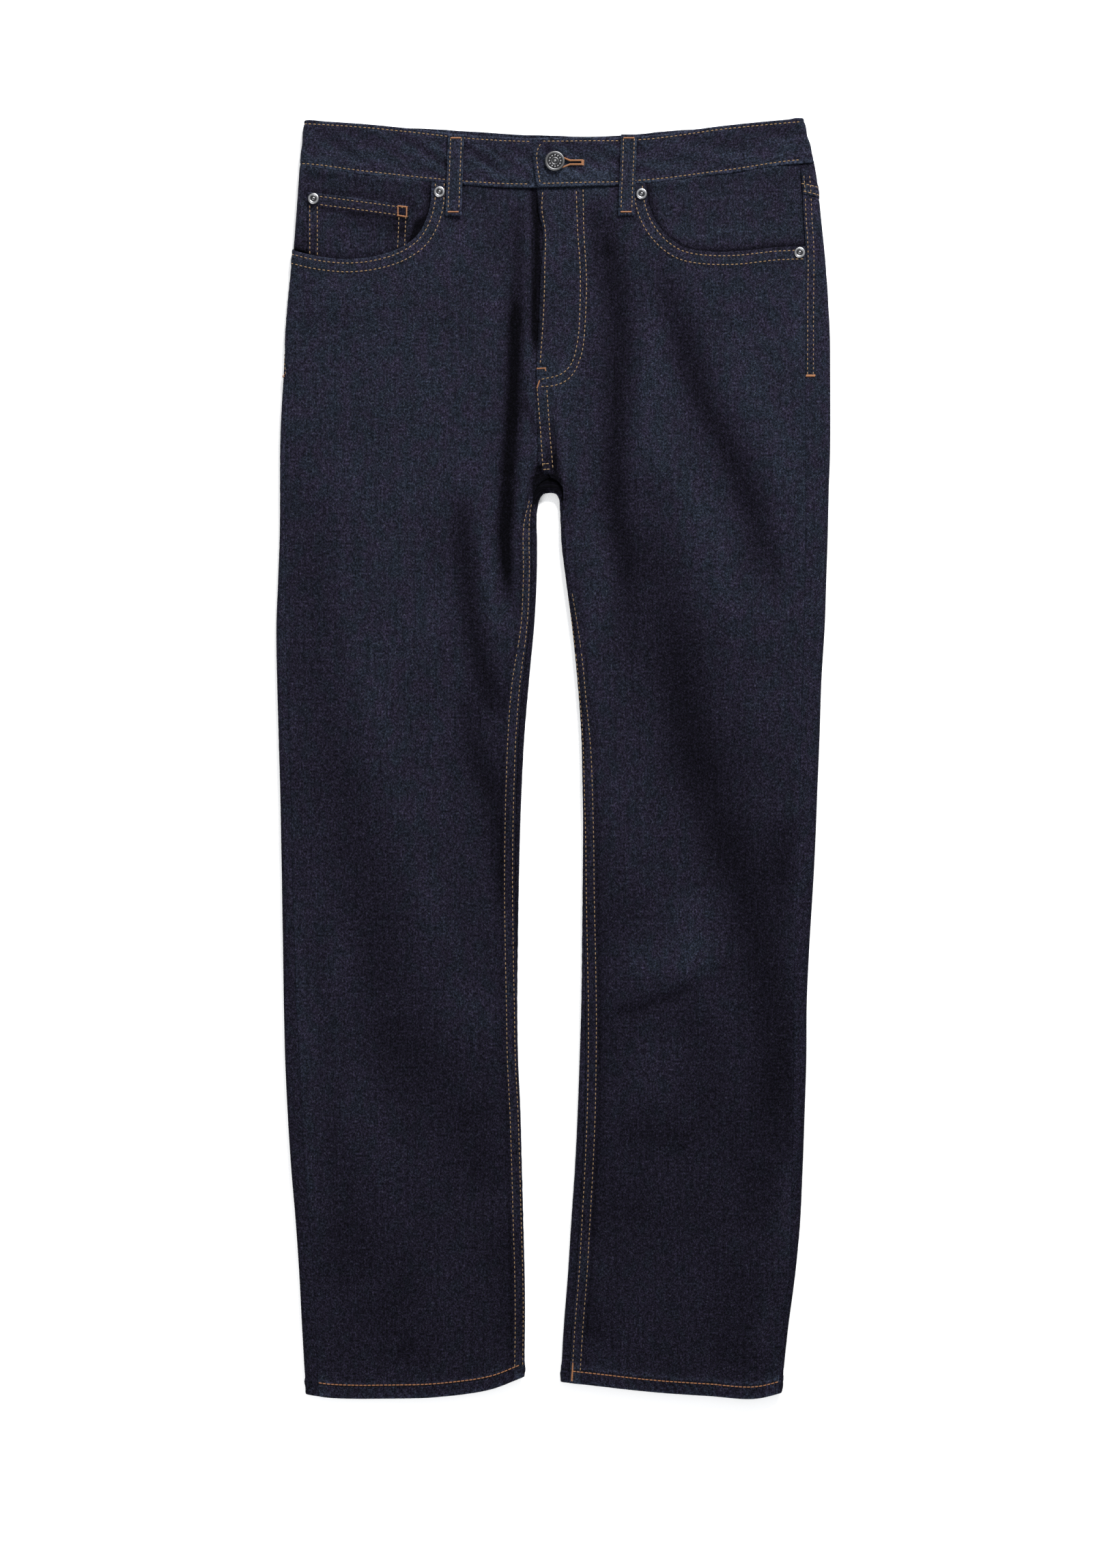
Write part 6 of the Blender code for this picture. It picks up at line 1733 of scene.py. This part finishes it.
rivet = {"steps": 48, "sunk": 0.15}
rivetPlaces = {
    "coin_pocket": (-200.2, 466.4, "coin"),
    "pocket_right": (-95.2, 471.8, "front_right"),
    "pocket_left": (73.2, 470.2, "front_left"),
    "pocket_left_side": (205.0, 421.4, "front_left"),
}
button = {"x": 1.0, "y": 496.8, "radius": 8.3, "shank": 2.6, "steps": 96, "beads": 12}


def turnedMesh(name, radii, heights, steps, place, worn, relief=None):
    # A profile turned about +Z, with a relief of radius and angle; its two ends close on the axis.
    radii, heights = np.array(radii, float), np.array(heights, float)
    turn = np.arange(steps) * 2 * math.pi / steps
    r, a = radii[1:-1, None] + 0 * turn[None, :], turn[None, :] + 0 * radii[1:-1, None]
    z = heights[1:-1, None] + (relief(r, a) if relief else 0.0 * r)
    ring = np.stack([r * np.cos(a), r * np.sin(a), z], axis=-1).reshape(-1, 3)
    top = heights[0] + (float(relief(np.zeros(1), np.zeros(1))[0]) if relief else 0.0)
    points = np.concatenate([ring, [[0, 0, top], [0, 0, heights[-1]]]]) + np.array(place)
    rows = len(radii) - 2
    index = np.arange(rows * steps).reshape(rows, steps)
    nextOne = np.roll(index, -1, axis=1)
    quads = np.stack([index[:-1], index[1:], nextOne[1:], nextOne[:-1]], axis=-1).reshape(-1, 4).tolist()
    topFan = np.stack([np.full(steps, rows * steps), index[0], nextOne[0]], axis=1).tolist()
    lowFan = np.stack([np.full(steps, rows * steps + 1), nextOne[-1], index[-1]], axis=1).tolist()
    mesh = bpy.data.meshes.new(name)
    mesh.from_pydata((points * mm).tolist(), [], quads + topFan + lowFan)
    mesh.update()
    attribute = mesh.attributes.new("wear", "FLOAT", "POINT")
    values = np.concatenate([worn(r, z).ravel(), [float(worn(np.zeros(1), np.array([top]))[0]), 0.3]])
    attribute.data.foreach_set("value", np.clip(values, 0, 1).astype(np.float32))
    mesh.shade_smooth()
    return mesh


def rivetProfile():
    # A nub, a groove round it and a rounded ring, as heights over radius; then its side and flat base.
    r = np.concatenate([np.linspace(0, 4.55, 34), [4.68, 4.75, 4.75, 4.72, 2.0, 0.0]])
    nub = 1.75 * np.sqrt(np.clip(1 - (r / 1.75) ** 2, 0, 1))
    ring = 0.55 + 0.95 * np.sqrt(np.clip(1 - ((r - 3.45) / 1.32) ** 2, 0, 1))
    z = np.maximum(np.maximum(nub, ring), 0.55)
    z[-6:] = (0.60, 0.50, 0.10, 0.0, 0.0, 0.0)
    return r, z


def rivetPaintedLightAndShade(r, z):
    # Painted light on the ring and round the nub, painted shade in the groove and at the nub's middle.
    return 0.9 * bell(r - 3.6, 0.95) + 0.65 * bell(r - 1.15, 0.45)


def makeRivet(name):
    # A turned head on the highest cloth under its rim.
    x, y, seatOn = rivetPlaces[name]
    spots = [(x + 3.4 * a, y + 3.4 * b) for a, b in ((-1, -1), (-1, 1), (1, -1), (1, 1), (0, 0))]
    seat = float(drop(spots, trees[seatOn])[0][:, 2].max()) - rivet["sunk"]
    r, z = rivetProfile()
    mesh = turnedMesh("rivet_head_" + name, r, z, rivet["steps"], (x, y, seat), rivetPaintedLightAndShade)
    return addPiece("rivet_head_" + name, mesh, nickelFinish, ["rivet_" + name])


def buttonRelief(r, a):
    # A ring of beads, a raised band inside it and a small dome, all as bells of the radius.
    beads = 0.42 * bell(r - 4.75, 0.62) * (0.5 + 0.5 * np.cos(button["beads"] * a)) ** 1.5
    inner = 0.26 * bell(r - 2.75, 0.42)
    return beads + inner + 0.38 * bell(r, 1.15)


def makeButton():
    # A dished cap with a rolled rim on a round shank.
    cap, big, shank = band["over"] + 2 * cloth["gap"], button["radius"], button["shank"]
    face = np.linspace(0, big - 2.2, 40)
    rim = np.linspace(0, math.pi, 14)
    rimR = big - 1.15 - 1.1 * np.cos(rim)
    rimZ = cap + 1.75 + 0.62 * np.sin(rim)
    r = np.concatenate([face, rimR, [big, big - 0.2, big - 1.0, shank, shank, 0.0]])
    z = np.concatenate([cap + 1.70 + 0.0 * face, rimZ, [cap + 1.3, cap + 0.6, cap, cap, 0.3, 0.3]])
    place = (button["x"], button["y"], band["top"])

    def relief(r, a):  # the pattern, inside the rolled rim
        return np.where(r < big - 2.4, buttonRelief(r, a), 0.0)

    def worn(r, z):  # even on the rim, and by height on the face
        return np.where(r > big - 2.2, 0.62, (z - cap - 1.72) / 0.36)

    mesh = turnedMesh("tack_button", r, z, button["steps"], place, worn, relief)
    return addPiece("tack_button", mesh, agedFinish, ["waist_button"])


rivets = {name: makeRivet(name) for name in rivetPlaces}
tackButton = makeButton()
print("metal made")


def sewOn(piece, path, tree, below=False, **more):
    # A row of stitches along a path that is dropped on the cloth.
    sewRow(piece, *drop(path, tree, below), **more)


def inseamPath(leg, row, low, high):
    # A row at a constant way in from the inseam, round the inner edge's fold.
    rows = legRows(leg, rowPlaces(leg, np.arange(low, high, 2.0)))
    arc = rows["inseam"] + halfGap + row * felledShare(leg, rows["y"])
    if leg == "left":
        arc = arc - 2.4 * rising(rows["y"], 60.0, 90.0)
    run = edgeRadius * (1 - np.cos(np.minimum(arc / edgeRadius, math.pi / 2))) + np.maximum(arc - quarter, 0)
    x, y = wayIn(rows, "inner", run)
    keep = arc > 0.6
    return np.c_[x, y + hemShift(x, y)][keep]


def hemPath(leg):
    # Across the leg at the hem row's height, bent with the hem.
    rows = legRows(leg, rowPlaces(leg, [hem["row"][leg == "left"] - hemLine]))
    x = np.linspace(float(rows["outerX"][0]), float(rows["innerX"][0]), 240)[2:-2]
    y = np.full(len(x), float(rows["y"][0]))
    return np.c_[x, y + hemShift(x, y)]


def backPlace(leg, x, y, yoked):
    # Points of an unrolled path on the back or the yoke, and their normals.
    relief = backRelief(leg, x, y, yoked)
    outer = hipPoint(-1, leg, x, y, -relief)
    return outer, unit(outer - hipPoint(-1, leg, x, y, cloth["wall"] - relief))


def sewRows(piece, rows, pathAt, tree, shift=0.0, below=False, **own):
    # A path at each row's distance in from its edge, each one's first stitch a little later.
    for i, row in enumerate(rows):
        sewOn(piece, pathAt(row), tree, below, start=shift * i, **own)


def sewFronts():
    # Two rows beside each pocket mouth and along each inseam, and the rows of the fly and the crotch.
    fine = {"radius": 0.35, "pitch": 3.9, "length": 2.4}
    low = {"radius": 0.32, "pitch": 3.9, "length": 2.3}
    high = {"right": {"radius": 0.29, "rise": 0.2}, "left": {"radius": 0.22, "rise": 0.02}}
    top = {"right": 214.0, "left": 140.0}
    for leg in sideOf:
        group, tree = "thread_front_" + leg, trees["front_" + leg]

        def besideMouth(row):  # the mouth's path, moved out by the row's distance
            return offsetPath(mouthPaths[leg], sideOf[leg] * row)

        sewRows(group, pocketEdge["rows"], besideMouth, tree, 1.3, **fine)
        for i, row in enumerate(felled["rows"]):
            sewOn(group, inseamPath(leg, row, -517.5, 90.0), tree, start=1.1 * i, **low)
            sewOn(group, inseamPath(leg, row, 92.0, top[leg]), tree, pitch=3.9, length=2.5, **high[leg])
    group, tree = "thread_fly", trees["front_left"]
    paths = (flyCurve, flyInner, flyEdgeRow, *crotchRows)
    for path, start in zip(paths, (0.0, 1.7, 0.8, 0.0, 1.2)):
        sewOn(group, path, tree, start=start, **fine)
    for ends in (((-9.6, 245.2), (-0.4, 246.0)), ((-9.0, 240.6), (0.2, 241.2))):
        sewOn(group, linear(ends), tree, pitch=3.4, length=2.6, radius=0.34, rise=0.2)


def sewHems():
    # One row round each hem.
    thick = {"radius": 0.43, "pitch": 3.4, "length": 3.05, "rise": 0.34}
    for leg in sideOf:
        sewOn("thread_hems", hemPath(leg), trees["front_" + leg], **thick)
        sewOn("thread_hems", hemPath(leg), trees["back"], below=True, **thick)


def sewBand():
    # A row inside each long edge of the band and one beside its outer end.
    fine = {"radius": 0.34, "pitch": 3.8, "length": 2.4}

    def rowBeside(curve, away, low, high, below=False):  # stitches on the curve moved by away
        x = np.arange(low, high, 1.0)
        sewOn("thread_waistband", np.c_[x, smoothCurve(curve, x) + away], trees["band"], below, **fine)

    down, up = -band["topRow"], halfGap + band["lowRow"]
    for low, high in ((-209.5, -17.5), (-9.0, 209.0)):
        rowBeside(bandTop, down, low, high)
        rowBeside(waistSeam, up, low, high)
    y = np.linspace(479.4, 513.0, 40)
    x = smoothCurve(bandEndEdge, y) + band["endRow"] + 1.6 * rising(y, 508, 6)
    sewOn("thread_waistband", np.c_[x, y], trees["band"], **fine)
    rowBeside(bandBackTop, down, -204.0, 203.0, True)
    rowBeside(backWaistSeam, up, -204.0, 203.0, True)


def sewLoops():
    # Two rows along each loop.
    fine = {"radius": 0.32, "pitch": 3.7, "length": 2.3}
    for leg in sideOf:
        topX, bottomX = (x - loop["width"] / 2 for x in frontLoopPlaces[leg])
        ends = loop["topY"] - loop["in"], loop["bottomY"] + loop["in"]
        for row in loop["rows"]:
            path = linear([(topX + row - 0.1, ends[0]), (bottomX + row + 0.1, ends[1])])
            sewOn("thread_front_loops", path, trees["loop_" + leg], **fine)
    for centre in backLoops.values():
        x, top = centre - loop["width"] / 2, backLoopTop(centre)
        for row in loop["rows"]:
            path = linear([(x + row, top - loop["in"]), (x + row, top - loopLength + loop["in"])])
            sewOn("thread_back_loops", path, trees["back_loops"], below=True, **fine)


def sewCoinPocket():
    # Two rows in from the top and from each side.
    fine = {"radius": 0.32, "pitch": 3.8, "length": 2.4}
    group, tree, width = "thread_coin_pocket", trees["coin"], coin["right"] - coin["left"]
    for row, ends, start in zip(coin["topRows"], ((-195.0, -122.5), (-196.0, -129.5)), (0.0, 1.5)):
        path = linear([(x, coinTop((x - coin["left"]) / width) - row) for x in ends])
        sewOn(group, path, tree, start=start, **fine)

    def leftRow(row):  # a straight line, the row's distance in from the left side
        return linear([(coin["left"] + row, 461.0), (coin["left"] + row, 412.0)])

    def rightRow(row):  # the same from the right side, which leans
        return linear([(coin["right"] - row, 452.0), (coin["right"] - row - 1.7, 412.0)])

    sewRows(group, coin["leftRows"], leftRow, tree, 1.0, **fine)
    sewRows(group, coin["rightRows"], rightRow, tree, 1.0, **fine)


def sewBacks():
    # Two rows above the yoke seam, beside each upper side seam and beside the centre back.
    fine = {"radius": 0.34, "pitch": 3.9, "length": 3.0}
    thin = {"radius": 0.29, "pitch": 3.9, "length": 2.3}

    def sew(leg, x, y, yoked, own):  # a row on the back's own surface
        sewRow("thread_back", *backPlace(leg, x, y, yoked), **own)

    for leg in sideOf:
        side, corner = sideOf[leg], yokeCorner(leg)
        x = np.linspace(corner[0] - side * 1.0, cloth["centreX"] + side * 0.8, 240)
        for row in yokeSeam["rows"]:
            sew(leg, x, yokeSeamY(x) + row, True, fine)
        low = np.linspace(backRows["sideEndY"] + 1.0, corner[1] - 1.2, 150)
        high = np.linspace(corner[1] + 1.0, 489.0, 30)
        for row in backRows["side"]:
            sew(leg, backSeamX(leg, low) - side * row, low, False, thin)
            sew(leg, backSeamX(leg, high) - side * row, high, True, thin)
    low, high = np.linspace(238.0, 407.0, 160), np.linspace(410.0, 477.0, 70)
    for row in backRows["centre"]:
        x = cloth["centreX"] + row
        sew("left", x + 0 * low, low, False, fine)
        sew("left", x + 0 * high, high, True, fine)


def sewBackPockets():
    # Two rows round each pocket and one along its hem.
    own = {"below": True, "radius": 0.34, "pitch": 3.8, "length": 2.9}
    shape = backPocket
    y, half = shape["topY"] - shape["hemRow"], shape["topHalf"] - 3
    for leg, centre in shape["centres"].items():
        outlines = [pocketOutline(leg, row) for row in shape["rows"]]
        for line in outlines + [[(centre - half, y), (centre + half, y)]]:
            sewOn("thread_back_pockets", linear(line), trees["pockets"], **own)


tacks = (  # place, cloth under it, direction, length, width
    ((-10.0, 324.8), "front_left", (1, 0.05), 7.4, 1.2),
    ((-6.8, 323.6), "front_left", (0.3, -1), 2.4, 0.9),
    ((-12.8, 311.6), "front_left", (0.35, 1), 6.4, 1.2),
    ((-125.8, 460.0), "coin", (1, -0.13), 8.2, 1.2),
    ((-126.1, 452.0), "coin", (1, -0.13), 8.2, 1.2),
    ((-129.8, 456.3), "coin", (0, 1), 7.4, 1.1),
    ((-122.6, 455.4), "coin", (0, 1), 7.4, 1.1),
    ((15.6, -510.6), "front_left", (0.04, 1), 15.0, 1.4),
)


def tackOn(spot, under, along, length, width, below=False):
    # A bartack where the spot is dropped, its direction laid along the cloth there.
    places, normals = drop([spot], trees[under], below)
    along = np.array([along[0], along[1], 0.0])
    along -= normals[0] * (along @ normals[0])
    sewTack("thread_tacks", places[0] + 0.05 * normals[0], along, normals[0], length, width)


def sewTacks():
    # Bartacks at the loops' ends, at the places in the table and where the side seams' rows end.
    inFrom, size = loop["tackIn"], loop["tack"]
    for leg in sideOf:
        topX, bottomX = frontLoopPlaces[leg]
        tackOn((topX, loop["topY"] - inFrom), "loop_" + leg, (1, 0), *size)
        tackOn((bottomX, loop["bottomY"] + inFrom), "loop_" + leg, (1, 0), *size)
    for centre in backLoops.values():
        top = backLoopTop(centre)
        for y in (top - inFrom, top - loopLength + inFrom):
            tackOn((centre, y), "back_loops", (1, 0), *size, below=True)
    for tack in tacks:
        tackOn(*tack)
    for leg, side in sideOf.items():  # where the side seam's two rows end
        y = np.array([backRows["sideEndY"]])
        x = backSeamX(leg, y) - side * 4.4
        places, normals = backPlace(leg, x, y, False)
        across = hipPoint(-1, leg, x + 1.0, y) - hipPoint(-1, leg, x, y)
        sewTack("thread_tacks", places[0] + 0.1 * normals[0], across[0], normals[0], 7.4, 2.0)


def sewButtonhole():
    # Stitches square to the keyhole's outline, over a cord that stands round it.
    inner, outer = keyholeOutline(0.15), keyholeOutline(1.75)
    inner, outer = np.concatenate([inner, inner[:1]]), np.concatenate([outer, outer[:1]])
    run = lengthsAlong(inner)
    spots = np.arange(0, run[-1], 0.52)
    wobble = np.random.default_rng(5).normal(0, 0.09, len(spots))
    a, b = pointsAt(inner, run, spots), pointsAt(outer, run, spots + wobble)
    level = float(drop([(12.0, 500.5)], trees["band"])[0][0, 2])
    starts, ends = np.c_[a, np.full(len(a), level - 0.1)], np.c_[b, np.full(len(b), level - 0.1)]
    normals = np.tile([0.0, 0.0, 1.0], (len(a), 1))
    keepThread("thread_tacks", *stitchMesh(starts, ends, normals, 0.33, 0.45))
    end = buttonhole["slotEnd"] + 1.6
    sewTack("thread_tacks", (end, buttonhole["y"], level), (0, 1, 0), (0, 0, 1), 4.4, 2.6, 0.5)


for sew in (
    sewFronts, sewHems, sewBand, sewLoops, sewCoinPocket, sewBacks, sewBackPockets, sewTacks, sewButtonhole,
):
    sew()
threadPieces = {}
for name, parts in threads.items():
    base = np.concatenate([[0], np.cumsum([len(points) for points, _ in parts])])
    points = np.concatenate([points for points, _ in parts]) * mm
    faces = np.concatenate([faces + start for (_, faces), start in zip(parts, base)])
    orange = name in ("thread_tacks", "thread_hems")
    mesh = meshOf(name, points, faces)
    threadPieces[name] = addPiece(name, mesh, tackThread if orange else goldThread)
print("sewing made:", sum(len(obj.data.polygons) for obj in threadPieces.values()), "faces")

# What shows of each piece, unrolled: its width and length in metres, its area where it isn't a
# rectangle, what it lies on and what is sewn to it.
cuts = [
    (fronts["right"], (0.227, 1.010), 0.193, ["denim_back_right"], ["thread_front_right"], ["pocket_right"]),
    (fronts["left"], (0.224, 1.009), 0.188, ["denim_back_left", "denim_front_right"],
     ["thread_front_left", "thread_fly"], ["pocket_left", "pocket_left_side"]),
    (backs["right"], (0.242, 0.991), 0.210, ["floor", "back_pocket_patch_right"], [], []),
    (backs["left"], (0.261, 1.001), 0.218, ["floor", "back_pocket_patch_left"], ["thread_back"], []),
    (yokes["right"], (0.205, 0.0845), 0.0107, ["floor"], [], []),
    (yokes["left"], (0.241, 0.0885), 0.0117, ["floor"], [], []),
    (facings["right"], (0.137, 0.092), 0.0101, ["denim_yoke_right"], [], []),
    (facings["left"], (0.146, 0.091), 0.0108, ["denim_yoke_left"], [], []),
    (coinPocket, (0.0842, 0.0643), 0.0050, ["pocket_mouth_facing_right"],
     ["thread_coin_pocket"], ["coin_pocket"]),
    (zipPiece, (0.0267, 0.148), None, ["denim_front_right"], [], []),
    (backPockets["right"], (0.152, 0.149), 0.0200, ["floor"], [], []),
    (backPockets["left"], (0.152, 0.149), 0.0200, ["floor"], ["thread_back_pockets"], []),
    (waistband, (0.0428, 0.897), 0.0382, ["floor", "back_loop_centre"], ["thread_waistband"], []),
]
for where, obj in loops.items():
    sewn = {"front_left": ["thread_front_loops"], "back_centre": ["thread_back_loops"]}.get(where, [])
    under = "waistband_strip" if where.startswith("front") else "floor"
    cuts.append((obj, (0.0135, 0.0676), None, [under], sewn, []))
for piece, size, area, under, sewn, riveted in cuts:
    held = [threadPieces[name] for name in sewn] + [rivets[name] for name in riveted]
    if piece == waistband:
        held.append(tackButton)
    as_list(under)
print("cloth declared:", len(cuts), "pieces")


view = {"aimX": 0.0003, "aimY": -0.0212, "distance": 3.0, "lens": 82.5}


def makeFloor():
    # Just under the lowest stitches, with a little glow of its own so that it stays pale.
    mesh = bpy.data.meshes.new("floor")
    size, level = 6.0, -0.0017
    corners = [(-size, -size, level), (size, -size, level), (size, size, level), (-size, size, level)]
    mesh.from_pydata(corners, [], [(0, 1, 2, 3)])
    finish = newFinish("pale_floor")
    finish.dress({"Base Color": (0.95, 0.95, 0.95, 1), "Roughness": 0.9})
    finish.dress({"Emission Color": (1, 1, 1, 1), "Emission Strength": 0.12})
    mesh.materials.append(finish.material)
    linked("floor", mesh)


def makeLight(name, place, size, power):
    # A square light that faces the middle of the jeans.
    data = bpy.data.lights.new(name, "AREA")
    data.size, data.energy = size, power
    obj = linked(name, data)
    obj.location = place
    obj.rotation_euler = (-Vector(place)).to_track_quat("-Z", "Y").to_euler()


def makeCamera():  # it looks straight down from its distance
    data = bpy.data.cameras.new("camera")
    data.sensor_width, data.lens, data.clip_end = 36.0, view["lens"], 20.0
    obj = linked("camera", data)
    obj.location = (view["aimX"], view["aimY"], view["distance"])
    bpy.context.scene.camera = obj


makeFloor()
makeLight("key", (0.8, 2.5, 1.6), 0.9, 190)
makeLight("fill", (-1.4, -1.8, 2.4), 2.0, 70)
makeCamera()
world = bpy.data.worlds.new("studio")
bpy.context.scene.world = world
world.use_nodes = True
world.node_tree.nodes["Background"].inputs[0].default_value = (0.95, 0.97, 1.0, 1)
world.node_tree.nodes["Background"].inputs[1].default_value = 0.5
bpy.context.scene.view_settings.view_transform = "Standard"
print("stage made")
